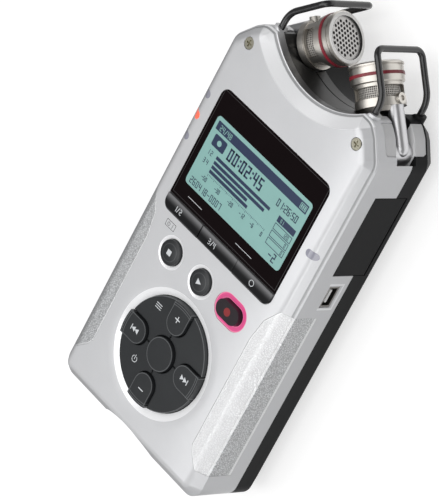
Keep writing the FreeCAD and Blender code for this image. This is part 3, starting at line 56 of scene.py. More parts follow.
FRONT = 34.3                                  # the front face
MIC_HIGH = 17.6                               # the level of the microphones' axes
MIC_AXIS = 52.75                              # distance of those axes from the origin, seen from above
CAP_BORE = 6.8                                # radius of the microphone caps' opening
MESH_RADIUS = 6.0                             # radius at which the mesh tube's weave is measured
CRADLE, CRADLE_RADIUS = (0.0, 84.0), 32.5     # the round valley between the microphones
WHEEL = (0.0, -46.5)                          # middles of the wheel and of the three buttons
STOP, PLAY, RECORD = (-15.2, -18.7), (0.0, -18.7), (15.2, -18.7)
WHEEL_DISH = (18.4, 20.75)                    # inner and outer radius of the wheel's dish
BUTTON_DISH = (4.3, 5.4)                      # the same for the stop and play buttons
WHEEL_LIP = (20.7, 24.0)                      # radii between which the face bows down to the wheel
LOBE_END = 12.2                               # a raised key's round inner end, from the wheel's middle
RING_STRAIGHT, RING_RADIUS = 2.2, 3.95        # the pink ring's middle line: half its straight, its bend
RIM_LINE = (31.1, 31.4)                       # levels of the painted crease shade round the front rim
VALLEY_BEVEL = 4.4                            # how far the painted highlight on the valley's bevel reaches beyond its wall
HINGE_BLOCKS = 24.6                           # their inner faces, from the middle
WIRE_PITCH = 0.66                             # between two wires of the mesh
DISPLAY_RISE = 0.02                           # thickness of the display's face
PRINT_RISE, FINE_RISE = 0.015, 0.012          # thickness of the prints
PRINT_SUNK = 0.02                             # how far a print starts under its surface
LIT_LENS = 21.9                               # the lit lens on the left edge, along the recorder
GRIP_LOW, GRIP_HIGH = (corner[1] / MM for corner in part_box("right_grip"))
GRIP_LOW_CORNERS = [(31.4, GRIP_LOW), (27.6, GRIP_LOW + 3.8), (26.2, GRIP_LOW + 6.3)]
GRIP_HIGH_CORNERS = [(31.4, GRIP_HIGH), (27.6, GRIP_HIGH - 6.0), (26.2, GRIP_HIGH - 14.0)]
DISPLAY_LOW, DISPLAY_HIGH = (-23.64, 2.61), (23.64, 27.51)
SIDE = CAD_BOX[1][0] / MM                     # the right side wall
COS_45 = math.sqrt(0.5)


# Camera and light

def set_camera():
    """The photograph's solved viewpoint: a long lens that looks down on the front and the right side."""
    data = bpy.data.cameras.new("photo_camera")
    data.sensor_width = 36.0
    data.lens = 288.0
    data.clip_end = 20.0
    camera = bpy.data.objects.new("photo_camera", data)
    bpy.context.scene.collection.objects.link(camera)
    turned = Matrix(((0.596568, -0.594393, 0.539263),
                     (0.42986, 0.804066, 0.410729),
                     (-0.677737, -0.01322, 0.735186))).to_4x4()
    camera.matrix_world = Matrix.Translation((0.657745, 0.494505, 0.930223)) @ turned
    bpy.context.scene.camera = camera


def area_light(name, place, target, size, power, turn):
    """A softbox that points at a target, turned about its own axis by an angle in degrees."""
    data = bpy.data.lights.new(name, "AREA")
    data.shape = "RECTANGLE"
    data.size, data.size_y = size
    data.energy = power
    lamp = bpy.data.objects.new(name, data)
    bpy.context.scene.collection.objects.link(lamp)
    lamp.location = place
    lamp.rotation_euler = (Vector(target) - Vector(place)).to_track_quat("-Z", "Y").to_euler()
    lamp.rotation_euler.rotate_axis("Z", math.radians(turn))


def set_light():
    """A pale world and five softboxes: above, a near strip mirrored in the face, one for the right bevel, and
    one at each side."""
    world = bpy.data.worlds.new("studio")
    bpy.context.scene.world = world
    world.use_nodes = True
    background = world.node_tree.nodes["Background"]
    background.inputs["Color"].default_value = (1.0, 1.0, 1.0, 1)
    background.inputs["Strength"].default_value = 0.24
    area_light("top_box", (0.10, 0.08, 0.85), (0, 0.05, 0), (0.9, 1.2), 6.8, 0)
    area_light("glint_box", (-0.075, -0.116, 0.257), (0.030, -0.005, 0.034), (0.045, 0.20), 0.056, 45)
    area_light("edge_box", (0.43, -0.22, 0.28), (0.033, -0.02, 0.032), (0.14, 0.30), 0.42, 0)
    area_light("right_box", (0.65, 0.10, 0.26), (0, 0.02, 0.02), (0.25, 0.5), 0.03, 0)
    area_light("left_box", (-0.6, 0.5, 0.45), (0, 0.02, 0.02), (0.3, 0.6), 0.40, 0)
    view = bpy.context.scene.view_settings
    view.view_transform = "Standard"
    view.look = "None"


set_camera()
set_light()


# Steps of a material

def maths(tree, operation, *values):
    """One arithmetic step on sockets or numbers."""
    node = tree.nodes.new("ShaderNodeMath")
    node.operation = operation
    for socket, value in zip(node.inputs, values):
        if isinstance(value, (int, float)):
            socket.default_value = value
        else:
            tree.links.new(value, socket)
    return node.outputs[0]


def hypotenuse(tree, a, b):
    """sqrt(a * a + b * b)"""
    squares = [maths(tree, "MULTIPLY", side, side) for side in (a, b)]
    return maths(tree, "SQRT", maths(tree, "ADD", *squares))


def ramp(tree, value, low, high, at_low, at_high):
    """Maps a value from one range to another and clamps it."""
    node = tree.nodes.new("ShaderNodeMapRange")
    for socket, number in (("From Min", low), ("From Max", high), ("To Min", at_low), ("To Max", at_high)):
        node.inputs[socket].default_value = number
    tree.links.new(value, node.inputs["Value"])
    return node.outputs["Result"]


def band_mask(tree, value, low, high, soft=0.05):
    """One between two limits and zero outside them, with soft edges."""
    return maths(tree, "MULTIPLY", ramp(tree, value, low - soft, low, 0.0, 1.0),
                 ramp(tree, value, high, high + soft, 1.0, 0.0))


def mix_colour(tree, factor, low, high):
    """Two colours or sockets mixed by a factor."""
    mix = tree.nodes.new("ShaderNodeMix")
    mix.data_type = "RGBA"
    for socket, value in (("A", low), ("B", high)):
        if isinstance(value, tuple):
            mix.inputs[socket].default_value = value + (1,)
        else:
            tree.links.new(value, mix.inputs[socket])
    tree.links.new(factor, mix.inputs["Factor"])
    return mix.outputs["Result"]


def bump_normal(tree, height, depth, under=None):
    """The normal of a surface raised by a height times a depth, on top of another normal if given."""
    bump = tree.nodes.new("ShaderNodeBump")
    bump.inputs["Strength"].default_value = 1.0
    bump.inputs["Distance"].default_value = depth * MM
    tree.links.new(height, bump.inputs["Height"])
    if under is not None:
        tree.links.new(under, bump.inputs["Normal"])
    return bump.outputs["Normal"]


def object_millimetres(tree):
    """The object's own coordinates in millimetres, and the same split into x, y and z."""
    where = tree.nodes.new("ShaderNodeTexCoord")
    scale = tree.nodes.new("ShaderNodeVectorMath")
    scale.operation = "SCALE"
    scale.inputs["Scale"].default_value = 1 / MM
    tree.links.new(where.outputs["Object"], scale.inputs[0])
    split = tree.nodes.new("ShaderNodeSeparateXYZ")
    tree.links.new(scale.outputs["Vector"], split.inputs["Vector"])
    return scale.outputs["Vector"], split.outputs


def away_from(tree, axes, centre):
    """Distance from an upright axis: sqrt((x - cx)^2 + (y - cy)^2)."""
    sides = [maths(tree, "SUBTRACT", axes[axis], place) for axis, place in zip("XY", centre)]
    return hypotenuse(tree, *sides)


def microphone_axes(tree, axes):
    """Places in either microphone, whose axis lies at 45 degrees: (y - |x|) / sqrt 2 along its axis,
    (y + |x|) / sqrt 2 less the axis's own distance across it, and z above it."""
    x = maths(tree, "ABSOLUTE", axes["X"])
    along = maths(tree, "MULTIPLY", maths(tree, "SUBTRACT", axes["Y"], x), COS_45)
    across = maths(tree, "MULTIPLY", maths(tree, "ADD", axes["Y"], x), COS_45)
    return along, maths(tree, "SUBTRACT", across, MIC_AXIS), maths(tree, "SUBTRACT", axes["Z"], MIC_HIGH)


def surface_group():
    """Shared surface detail: fine grain, faint smudges that shift roughness, and a bump normal."""
    tree = bpy.data.node_groups.new("surface_detail", "ShaderNodeTree")
    for name, start in (("Grain Scale", 1.0), ("Grain Depth", 0.02), ("Smudge", 0.06), ("Roughness", 0.3)):
        socket = tree.interface.new_socket(name, in_out="INPUT", socket_type="NodeSocketFloat")
        socket.default_value = start
    for name, kind in (("Roughness", "Float"), ("Normal", "Vector"), ("Variation", "Float")):
        tree.interface.new_socket(name, in_out="OUTPUT", socket_type="NodeSocket" + kind)
    given = tree.nodes.new("NodeGroupInput").outputs
    result = tree.nodes.new("NodeGroupOutput").inputs
    where, _ = object_millimetres(tree)
    smudge = tree.nodes.new("ShaderNodeTexNoise")
    for socket, number in (("Scale", 0.09), ("Detail", 5.0), ("Roughness", 0.65)):
        smudge.inputs[socket].default_value = number
    tree.links.new(where, smudge.inputs["Vector"])
    variation = maths(tree, "SUBTRACT", smudge.outputs["Fac"], 0.5)
    tree.links.new(variation, result["Variation"])
    tree.links.new(maths(tree, "MULTIPLY_ADD", variation, given["Smudge"], given["Roughness"]),
                   result["Roughness"])
    grain = tree.nodes.new("ShaderNodeTexNoise")
    grain.inputs["Detail"].default_value = 3.0
    tree.links.new(where, grain.inputs["Vector"])
    tree.links.new(given["Grain Scale"], grain.inputs["Scale"])
    bump = tree.nodes.new("ShaderNodeBump")
    bump.inputs["Strength"].default_value = 1.0
    tree.links.new(maths(tree, "MULTIPLY", given["Grain Depth"], MM), bump.inputs["Distance"])
    tree.links.new(grain.outputs["Fac"], bump.inputs["Height"])
    tree.links.new(bump.outputs["Normal"], result["Normal"])
    return tree


SURFACE = surface_group()


def material(name, colour, roughness, metallic=0.0, grain=(1.5, 0.006), smudge=0.06, tint=0.04, coat=0.0,
             coat_roughness=0.08, specular=0.5):
    """A moulded, painted or metal surface with grain, faint smudges and a slight change of tone."""
    made = bpy.data.materials.new(name)
    made.use_nodes = True
    tree = made.node_tree
    shader = tree.nodes["Principled BSDF"]
    detail = tree.nodes.new("ShaderNodeGroup")
    detail.node_tree = SURFACE
    for socket, number in (("Grain Scale", grain[0]), ("Grain Depth", grain[1]), ("Smudge", smudge),
                           ("Roughness", roughness)):
        detail.inputs[socket].default_value = number
    tree.links.new(detail.outputs["Roughness"], shader.inputs["Roughness"])
    tree.links.new(detail.outputs["Normal"], shader.inputs["Normal"])
    tone = ramp(tree, detail.outputs["Variation"], -0.3, 0.3, 0.0, 1.0)
    darker = tuple(part * (1 - tint) for part in colour)
    lighter = tuple(min(1.0, part * (1 + tint)) for part in colour)
    tree.links.new(mix_colour(tree, tone, darker, lighter), shader.inputs["Base Color"])
    for socket, number in (("Metallic", metallic), ("Specular IOR Level", specular), ("Coat Weight", coat),
                           ("Coat Roughness", coat_roughness)):
        shader.inputs[socket].default_value = number
    return made


def glowing(name, colour, strength, roughness):
    """A lit plastic that glows a little in its own colour."""
    made = material(name, colour, roughness, grain=(2.0, 0.003), smudge=0.04, tint=0.05)
    shader = made.node_tree.nodes["Principled BSDF"]
    shader.inputs["Emission Color"].default_value = colour + (1,)
    shader.inputs["Emission Strength"].default_value = strength
    return made


def opened(made):
    """A material's node tree, its shader, its paint so far, and the place split into x, y and z."""
    tree = made.node_tree
    shader = tree.nodes["Principled BSDF"]
    _, axes = object_millimetres(tree)
    return tree, shader, shader.inputs["Base Color"].links[0].from_socket, axes


# Even materials

BLACK = material("black_moulding", (0.014, 0.0142, 0.0148), 0.46, grain=(5.0, 0.012), smudge=0.10,
                 tint=0.12, specular=0.09)
GLOSS = material("window_black", (0.007, 0.0045, 0.005), 0.10, grain=(0.4, 0.0012), smudge=0.03, tint=0.1,
                 specular=0.05)
KEY = material("key_black", (0.022, 0.024, 0.026), 0.36, grain=(4.0, 0.006), smudge=0.10, tint=0.10,
               specular=0.35)
RECORD_KEY = material("record_key_black", (0.018, 0.012, 0.016), 0.36, grain=(4.0, 0.006), smudge=0.10,
                      tint=0.10, specular=0.3)
# A painted highlight for the window's bevel
FAINT = material("window_bevel_glint", (0.030, 0.028, 0.029), 0.3, grain=(4.0, 0.002), smudge=0.05,
                 tint=0.05)
STEEL = material("bright_steel", (0.66, 0.66, 0.65), 0.26, metallic=1.0, grain=(3.0, 0.004), smudge=0.14)
DARK_STEEL = material("plated_steel", (0.22, 0.21, 0.20), 0.32, metallic=1.0, grain=(3.0, 0.004),
                      smudge=0.14)
NICKEL = material("satin_nickel", (0.56, 0.535, 0.495), 0.36, metallic=1.0, grain=(2.5, 0.0012),
                  smudge=0.05, tint=0.03)
GRILLE = material("grille_steel", (0.46, 0.45, 0.44), 0.40, metallic=0.9, grain=(2.5, 0.0012), smudge=0.05)
ARM = material("arm_metal", (0.56, 0.56, 0.57), 0.36, metallic=1.0, grain=(3.0, 0.0015), smudge=0.05)
BRASS = material("turned_brass", (0.66, 0.50, 0.25), 0.28, metallic=1.0, grain=(3.0, 0.005), smudge=0.12)
WIRE = material("coated_wire", (0.010, 0.010, 0.011), 0.26, grain=(1.2, 0.004), smudge=0.08, tint=0.1,
                coat=0.3, coat_roughness=0.2)
SCREW = material("screw_brass", (0.47, 0.45, 0.36), 0.34, metallic=0.9, grain=(3.0, 0.002), smudge=0.08)
RED_BAND = material("red_band", (0.22, 0.016, 0.028), 0.38, grain=(3.0, 0.004), smudge=0.06, tint=0.08)
BOARD = material("board_green", (0.02, 0.12, 0.06), 0.38, grain=(1.0, 0.01), smudge=0.10, tint=0.25)
WRAP = material("cell_wrap", (0.05, 0.14, 0.30), 0.22, grain=(1.0, 0.003), smudge=0.05, tint=0.10)
CONE = material("speaker_paper", (0.035, 0.034, 0.033), 0.75, grain=(3.0, 0.03), smudge=0.10, tint=0.2)
INK = material("dark_ink", (0.035, 0.037, 0.042), 0.42, grain=(4.0, 0.002), smudge=0.05, tint=0.05)
PALE = material("pale_print", (0.62, 0.64, 0.66), 0.40, grain=(4.0, 0.002), smudge=0.05, tint=0.05)
BRIGHT = material("bright_rim", (0.86, 0.865, 0.88), 0.3, metallic=0.3, grain=(9.0, 0.0025), smudge=0.04)
TONGUE = material("tongue_white", (0.93, 0.93, 0.92), 0.35, grain=(3.0, 0.002), smudge=0.04)
RED_DOT = material("record_red", (0.24, 0.012, 0.014), 0.36, grain=(4.0, 0.003), smudge=0.05)
FIGURES = material("display_figures", (0.022, 0.036, 0.085), 0.3, grain=(4.0, 0.001), smudge=0.03)
LCD = glowing("display_glow", (0.225, 0.41, 0.385), 0.13, 0.3)


# Materials that change from place to place

def shell_material():
    """Silver paint on a slightly crowned face that bows down to the wheel's dish. A darker line, painted
    shade of a crease, runs round the front rim apart from the bottom end. The dishes of the wheel and of two
    buttons are painted brighter and glow a little, a painted highlight. The valley's bevel is painted pale as
    a highlight, and its wall is darker."""
    made = material("silver_paint", (0.66, 0.665, 0.68), 0.30, metallic=0.18, grain=(9.0, 0.0025),
                    smudge=0.05, tint=0.025, coat=0.25, coat_roughness=0.16)
    tree, shader, paint, axes = opened(made)
    from_middle = maths(tree, "ABSOLUTE", axes["X"])
    # Painted shade: a darker line along the crease round the front rim, which the bump also sinks a little
    rim_crease_shade = maths(tree, "MULTIPLY", band_mask(tree, axes["Z"], *RIM_LINE, 0.2),
                     ramp(tree, axes["Y"], -68, -66, 0.0, 1.0))
    crown = maths(tree, "MULTIPLY", maths(tree, "POWER", from_middle, 4.0), -0.89e-6)
    from_wheel = away_from(tree, axes, WHEEL)
    lip = maths(tree, "POWER", ramp(tree, from_wheel, *WHEEL_LIP, 1.0, 0.0), 2.0)
    height = maths(tree, "SUBTRACT", crown, maths(tree, "MULTIPLY", rim_crease_shade, 0.12))
    height = maths(tree, "SUBTRACT", height, maths(tree, "MULTIPLY", lip, 0.2))
    fine = shader.inputs["Normal"].links[0].from_socket
    tree.links.new(bump_normal(tree, height, 1.0, fine), shader.inputs["Normal"])
    # Painted highlight: the dishes of the wheel and of two buttons are paler and glow a little
    dish_highlight = band_mask(tree, from_wheel, *WHEEL_DISH, 0.1)
    for centre in (STOP, PLAY):
        dish = band_mask(tree, away_from(tree, axes, centre), *BUTTON_DISH, 0.1)
        dish_highlight = maths(tree, "MAXIMUM", dish_highlight, dish)
    from_valley = away_from(tree, axes, CRADLE)
    # Painted highlight: a pale band on the valley's bevel
    bevel_end = CRADLE_RADIUS + VALLEY_BEVEL
    bevel = maths(tree, "MULTIPLY", ramp(tree, axes["Z"], 30.3, 30.7, 0.0, 1.0),
                  ramp(tree, from_valley, bevel_end, bevel_end + 0.4, 1.0, 0.0))
    wall = maths(tree, "MULTIPLY", ramp(tree, from_middle, 14, 21, 1.0, 0.5),
                 ramp(tree, from_valley, CRADLE_RADIUS + 0.03, CRADLE_RADIUS + 0.12, 1.0, 0.0))
    for where, colour in ((bevel, (0.94, 0.945, 0.96)), (wall, (0.13, 0.13, 0.135)),
                          (rim_crease_shade, (0.40, 0.405, 0.415)), (dish_highlight, (0.90, 0.905, 0.92))):
        paint = mix_colour(tree, where, paint, colour)
    tree.links.new(paint, shader.inputs["Base Color"])
    # The dishes' glow is part of the same painted highlight
    shader.inputs["Emission Color"].default_value = (1.0, 1.0, 1.0, 1)
    tree.links.new(ramp(tree, dish_highlight, 0.0, 1.0, 0.0, 0.12), shader.inputs["Emission Strength"])
    return made


def bracket_material():
    """Black valley wall; the hinge blocks at both ends are painted a pale grey, a painted reflection of the
    light on them.
    """
    made = material("bracket_black", (0.016, 0.016, 0.016), 0.34, grain=(5.0, 0.008), smudge=0.08, tint=0.1)
    tree, shader, paint, axes = opened(made)
    # Painted reflection: the hinge blocks are painted pale grey
    block_reflection = ramp(tree, maths(tree, "ABSOLUTE", axes["X"]), HINGE_BLOCKS, HINGE_BLOCKS + 0.3, 0.0, 1.0)
    tree.links.new(mix_colour(tree, block_reflection, paint, (0.84, 0.84, 0.845)), shader.inputs["Base Color"])
    return made


def lined_key(name, measure, lines, glint=(0.12, 0.125, 0.13)):
    """Key black with thin paler lines where a distance lies between two limits: painted highlights on edges
    and steps.
    """
    made = material(name, (0.022, 0.024, 0.026), 0.36, grain=(4.0, 0.006), smudge=0.10, tint=0.10,
                    specular=0.35)
    tree, shader, paint, axes = opened(made)
    for distance, (low, high) in zip(measure(tree, axes), lines):
        paint = mix_colour(tree, band_mask(tree, distance, low, high, 0.06), paint, glint)
    tree.links.new(paint, shader.inputs["Base Color"])
    return made


def wheel_distance(tree, axes):
    """Distance from the middle of the wheel."""
    return [away_from(tree, axes, WHEEL)]


def round_key_distance(tree, axes):
    """Distance from the middle of the nearer of the stop and play keys."""
    return [maths(tree, "MINIMUM", away_from(tree, axes, STOP), away_from(tree, axes, PLAY))]


def lobe_distances(tree, axes):
    """Distance from the middle line of the nearest raised key, and twice that from the wheel's middle."""
    x = maths(tree, "ABSOLUTE", axes["X"])
    y = maths(tree, "ABSOLUTE", maths(tree, "SUBTRACT", axes["Y"], WHEEL[1]))
    along = maths(tree, "MINIMUM", maths(tree, "SUBTRACT", maths(tree, "MAXIMUM", x, y), LOBE_END), 0.0)
    return [hypotenuse(tree, along, maths(tree, "MINIMUM", x, y))] + 2 * wheel_distance(tree, axes)


def soft_key_material():
    """Glossy key black with a painted highlight that pales it towards the window and along the lower edge."""
    made = material("soft_key_black", (0.010, 0.010, 0.011), 0.30, grain=(4.0, 0.006), smudge=0.10,
                    tint=0.10, specular=0.12)
    tree, shader, paint, axes = opened(made)
    # Painted highlight towards the window and along the lower edge
    highlight_to_window = maths(tree, "POWER", ramp(tree, axes["Y"], -6.6, -4.3, 0.0, 1.0), 2.0)
    painted_highlight = maths(tree, "MAXIMUM", highlight_to_window, ramp(tree, axes["Y"], -8.4, -7.9, 0.6, 0.0))
    tree.links.new(mix_colour(tree, painted_highlight, paint, (0.17, 0.17, 0.175)), shader.inputs["Base Color"])
    return made


def ring_material():
    """Lit pink plastic, paler along its two edges."""
    made = glowing("ring_glow", (0.62, 0.075, 0.23), 0.30, 0.32)
    tree, shader, _, axes = opened(made)
    x = maths(tree, "ABSOLUTE", maths(tree, "SUBTRACT", axes["X"], RECORD[0]))
    past_straight = maths(tree, "MAXIMUM", maths(tree, "SUBTRACT", x, RING_STRAIGHT), 0.0)
    distance = hypotenuse(tree, past_straight, maths(tree, "SUBTRACT", axes["Y"], RECORD[1]))
    off_middle = maths(tree, "ABSOLUTE", maths(tree, "SUBTRACT", distance, RING_RADIUS))
    edge = ramp(tree, off_middle, 0.45, 0.95, 0.0, 1.0)
    tree.links.new(mix_colour(tree, edge, (0.58, 0.055, 0.20), (0.86, 0.30, 0.44)),
                   shader.inputs["Base Color"])
    return made


def cap_material():
    """Satin nickel; round the front of the microphone a pale ring is a painted highlight, and the inner wall
    is painted dark as shade.
    """
    made = material("cap_nickel", (0.56, 0.535, 0.495), 0.36, grain=(2.5, 0.0012), smudge=0.05, tint=0.03)
    tree, shader, paint, axes = opened(made)
    vertices = NODES["right_mic_cap"].data.vertices
    points = np.empty(3 * len(vertices))
    vertices.foreach_get("co", points)
    points = points.reshape(-1, 3) / MM
    tip = float(np.max(points[:, 1] - np.abs(points[:, 0]))) * COS_45
    along, across, up = microphone_axes(tree, axes)
    # Painted highlight: the pale front ring. Painted shade: the dark inner wall of the opening
    ring = ramp(tree, along, tip - 0.25, tip - 0.12, 0.0, 1.0)
    inner_wall_shade = maths(tree, "MULTIPLY", ramp(tree, along, tip - 1.2, tip - 1.1, 0.0, 1.0),
                   ramp(tree, hypotenuse(tree, across, up), CAP_BORE + 0.04, CAP_BORE + 0.10, 1.0, 0.0))
    paint = mix_colour(tree, ring, paint, (0.93, 0.92, 0.90))
    tree.links.new(mix_colour(tree, inner_wall_shade, paint, (0.02, 0.02, 0.02)), shader.inputs["Base Color"])
    tree.links.new(ramp(tree, maths(tree, "MAXIMUM", ring, inner_wall_shade), 0.0, 1.0, 1.0, 0.25),
                   shader.inputs["Metallic"])
    return made


def grip_inset(tree, axes):
    """Distance inwards from the grip's inner outline: the least of n . (p - q) over its five edges."""
    x = maths(tree, "ABSOLUTE", axes["X"])
    nearest = maths(tree, "SUBTRACT", x, GRIP_LOW_CORNERS[-1][0])
    for corners, side in ((GRIP_LOW_CORNERS, 1), (GRIP_HIGH_CORNERS, -1)):
        for (x0, y0), (x1, y1) in zip(corners, corners[1:]):
            run, rise = x1 - x0, (y1 - y0) * side
            length = math.hypot(run, rise)
            across = maths(tree, "MULTIPLY", maths(tree, "SUBTRACT", x, x0), rise / length)
            along = maths(tree, "MULTIPLY", maths(tree, "SUBTRACT", axes["Y"], y0), -run / length * side)
            nearest = maths(tree, "MINIMUM", nearest, maths(tree, "ADD", across, along))
    return nearest


def grip_material():
    """Silver skin with a leather grain: small raised cells with soft valleys between them. Painted highlights
    run along its rims and inner outline; the face of the right grip is painted paler as a highlight, and that
    of the left grip darker as painted shade."""
    made = material("grip_skin", (0.46, 0.475, 0.49), 0.36, metallic=0.45, grain=(2.0, 0.01), smudge=0.06,
                    tint=0.06)
    tree = made.node_tree
    shader = tree.nodes["Principled BSDF"]
    where, axes = object_millimetres(tree)
    warp = tree.nodes.new("ShaderNodeTexNoise")
    warp.inputs["Scale"].default_value = 1.1
    tree.links.new(where, warp.inputs["Vector"])
    warped = tree.nodes.new("ShaderNodeVectorMath")
    warped.operation = "MULTIPLY_ADD"
    warped.inputs[1].default_value = (0.5, 0.5, 0.5)
    tree.links.new(warp.outputs["Color"], warped.inputs[0])
    tree.links.new(where, warped.inputs[2])
    cells = tree.nodes.new("ShaderNodeTexVoronoi")
    cells.feature = "DISTANCE_TO_EDGE"
    cells.inputs["Scale"].default_value = 1.45
    tree.links.new(warped.outputs["Vector"], cells.inputs["Vector"])
    height = ramp(tree, cells.outputs["Distance"], 0.0, 0.20, 0.0, 1.0)
    front = ramp(tree, axes["Z"], 30.6, 31.4, 0.0, 1.0)
    left = ramp(tree, axes["X"], -1.0, 1.0, 1.0, 0.0)
    # Painted highlights: pale bands along the rims
    rim_highlights = maths(tree, "ADD", band_mask(tree, axes["Z"], 20.7, 21.8), band_mask(tree, axes["Z"], 30.6, 31.1))
    softer = maths(tree, "SUBTRACT", 1.0, maths(tree, "MULTIPLY", front, 0.6))
    tree.links.new(bump_normal(tree, maths(tree, "MULTIPLY", height, softer), 0.10), shader.inputs["Normal"])
    # Painted light: the right grip's face is paler as a highlight, the left one's darker as shade
    side = mix_colour(tree, height, (0.38, 0.385, 0.395), (0.78, 0.79, 0.80))
    right_face_highlight = mix_colour(tree, height, (0.76, 0.765, 0.775), (0.87, 0.875, 0.885))
    left_face_shade = mix_colour(tree, height, (0.34, 0.345, 0.355), (0.60, 0.61, 0.62))
    skin = mix_colour(tree, front, side, mix_colour(tree, left, right_face_highlight, left_face_shade))
    skin = mix_colour(tree, rim_highlights, skin, (0.93, 0.935, 0.945))
    inset = grip_inset(tree, axes)
    # Painted highlight: a pale line inside the outline, dimmer on the left grip as painted shade
    glint = mix_colour(tree, left, (0.95, 0.955, 0.965), (0.74, 0.745, 0.755))
    skin = mix_colour(tree, ramp(tree, inset, 0.45, 0.55, 1.0, 0.0), skin, glint)
    skin = mix_colour(tree, ramp(tree, inset, 0.10, 0.18, 1.0, 0.0), skin, (0.46, 0.465, 0.475))
    tree.links.new(skin, shader.inputs["Base Color"])
    return made


def weave_material():
    """Woven wire round the microphone's tube: crossed waves along its axis and round it."""
    made = material("woven_mesh", (0.40, 0.39, 0.37), 0.45, metallic=0.8, grain=(3.0, 0.004), smudge=0.05)
    tree, shader, _, axes = opened(made)
    along, across, up = microphone_axes(tree, axes)
    around = maths(tree, "MULTIPLY", maths(tree, "ARCTAN2", up, across), MESH_RADIUS)
    waves = [maths(tree, "SINE", maths(tree, "MULTIPLY", way, 2 * math.pi / WIRE_PITCH))
             for way in (along, around)]
    weave = maths(tree, "MAXIMUM", *waves)
    shade = ramp(tree, weave, -0.1, 0.9, 0.0, 1.0)
    tree.links.new(mix_colour(tree, shade, (0.10, 0.095, 0.09), (0.50, 0.48, 0.45)),
                   shader.inputs["Base Color"])
    tree.links.new(bump_normal(tree, weave, 0.06), shader.inputs["Normal"])
    return made


def lens_material():
    """Pale violet lenses; the middle one on the left is lit red."""
    made = material("lens_tint", (0.31, 0.31, 0.37), 0.18, grain=(2.0, 0.002), smudge=0.04, coat=0.5)
    tree, shader, _, axes = opened(made)
    off_lens = maths(tree, "ABSOLUTE", maths(tree, "SUBTRACT", axes["Y"], LIT_LENS))
    lit = maths(tree, "MULTIPLY", ramp(tree, off_lens, 2.4, 2.6, 1.0, 0.0),
                ramp(tree, axes["X"], -1.0, 1.0, 1.0, 0.0))
    tree.links.new(mix_colour(tree, lit, (0.31, 0.31, 0.37), (0.90, 0.16, 0.10)),
                   shader.inputs["Base Color"])
    tree.links.new(mix_colour(tree, lit, (0.0, 0.0, 0.0), (0.5, 0.06, 0.03)),
                   shader.inputs["Emission Color"])
    shader.inputs["Emission Strength"].default_value = 1.0
    return made


def floor_material():
    """White to the camera. What mirrors it sees it dark left of the recorder and below its end, and brightest
    beside the microphones. It throws little light back."""
    made = material("pale_floor", (0.50, 0.50, 0.50), 0.6, grain=(0.5, 0.01), smudge=0.02, tint=0.004)
    tree, shader, paint, axes = opened(made)
    rays = tree.nodes.new("ShaderNodeLightPath").outputs
    beside = maths(tree, "MULTIPLY", ramp(tree, axes["X"], -65, -40, 0.0, 1.0),
                   ramp(tree, axes["Y"], -115, -90, 0.0, 1.0))
    mirrored = maths(tree, "MULTIPLY", rays["Is Glossy Ray"], beside)
    seen = maths(tree, "MAXIMUM", rays["Is Camera Ray"], mirrored)
    tree.links.new(mix_colour(tree, seen, (0.22, 0.22, 0.225), paint), shader.inputs["Base Color"])
    shader.inputs["Emission Color"].default_value = (1.0, 1.0, 1.0, 1)
    to_camera = maths(tree, "MULTIPLY", rays["Is Camera Ray"], 0.62)
    to_mirrors = maths(tree, "MULTIPLY", mirrored, ramp(tree, axes["Y"], 10, 70, 0.5, 0.78))
    tree.links.new(maths(tree, "ADD", to_camera, to_mirrors), shader.inputs["Emission Strength"])
    return made


# Painted highlights: pale lines along the keys' edges and rim steps, and round the stop and play keys' dishes
SECTOR_KEY = lined_key("sector_black", wheel_distance, [(17.95, 18.1)])
ENTER_KEY = lined_key("enter_black", wheel_distance, [(5.2, 5.32)])
LOBE_KEY = lined_key("raised_key_black", lobe_distances, [(3.85, 3.97), (16.9, 17.02), (17.6, 17.75)])
ROUND_KEY = lined_key("round_key_black", round_key_distance, [(2.75, 2.95)], (0.06, 0.063, 0.066))


# Each CAD node's material, and how far its sharp edges are rounded

LOOKS = (
    (shell_material(), "front_shell"),
    (grip_material(), "right_grip left_grip"),
    (GLOSS, "display_window"),
    (BLACK, "lcd_module rear_shell battery_cover card_door"),
    (BLACK, "headphone_socket right_combo_socket left_combo_socket"),
    (bracket_material(), "mic_bracket"),
    (ring_material(), "record_light_ring"),
    (lens_material(), "indicator_lenses"),
    (soft_key_material(), "left_soft_key middle_soft_key right_soft_key"),
    (ROUND_KEY, "stop_button play_button"),
    (RECORD_KEY, "record_button"),
    (LOBE_KEY, "skip_forward_key skip_back_key plus_key minus_key"),
    (SECTOR_KEY, "upper_right_key upper_left_key lower_left_key lower_right_key"),
    (ENTER_KEY, "enter_key"),
    (KEY, "volume_rocker level_rocker hold_slider right_release_tab left_release_tab"),
    (SCREW, "front_screws"),
    (DARK_STEEL, "rear_screws usb_socket"),
    (STEEL, "pivot_pins card_slot"),
    (BRASS, "battery_contacts tripod_insert"),
    (WRAP, "battery_cells"),
    (BOARD, "main_board key_board"),
    (CONE, "speaker"),
    (ARM, "right_mic_arm left_mic_arm"),
    (NICKEL, "right_mic_cage left_mic_cage"),
    (weave_material(), "right_mic_mesh left_mic_mesh"),
    (cap_material(), "right_mic_cap left_mic_cap"),
    (RED_BAND, "right_mic_band left_mic_band"),
    (GRILLE, "right_mic_grille left_mic_grille"),
    (WIRE, "right_mic_guard left_mic_guard"),
)
ROUNDINGS = (
    (0.8, "rear_shell"),
    (0.6, "record_button"),
    (0.5, "front_shell stop_button play_button enter_key"),
    (0.4, "skip_forward_key skip_back_key plus_key minus_key"),
    (0.4, "upper_right_key upper_left_key lower_left_key lower_right_key"),
    (0.35, "left_soft_key middle_soft_key right_soft_key right_grip left_grip"),
    (0.3, "mic_bracket"),
    (0.25, "card_door battery_cover"),
    (0.2, "display_window"),
)


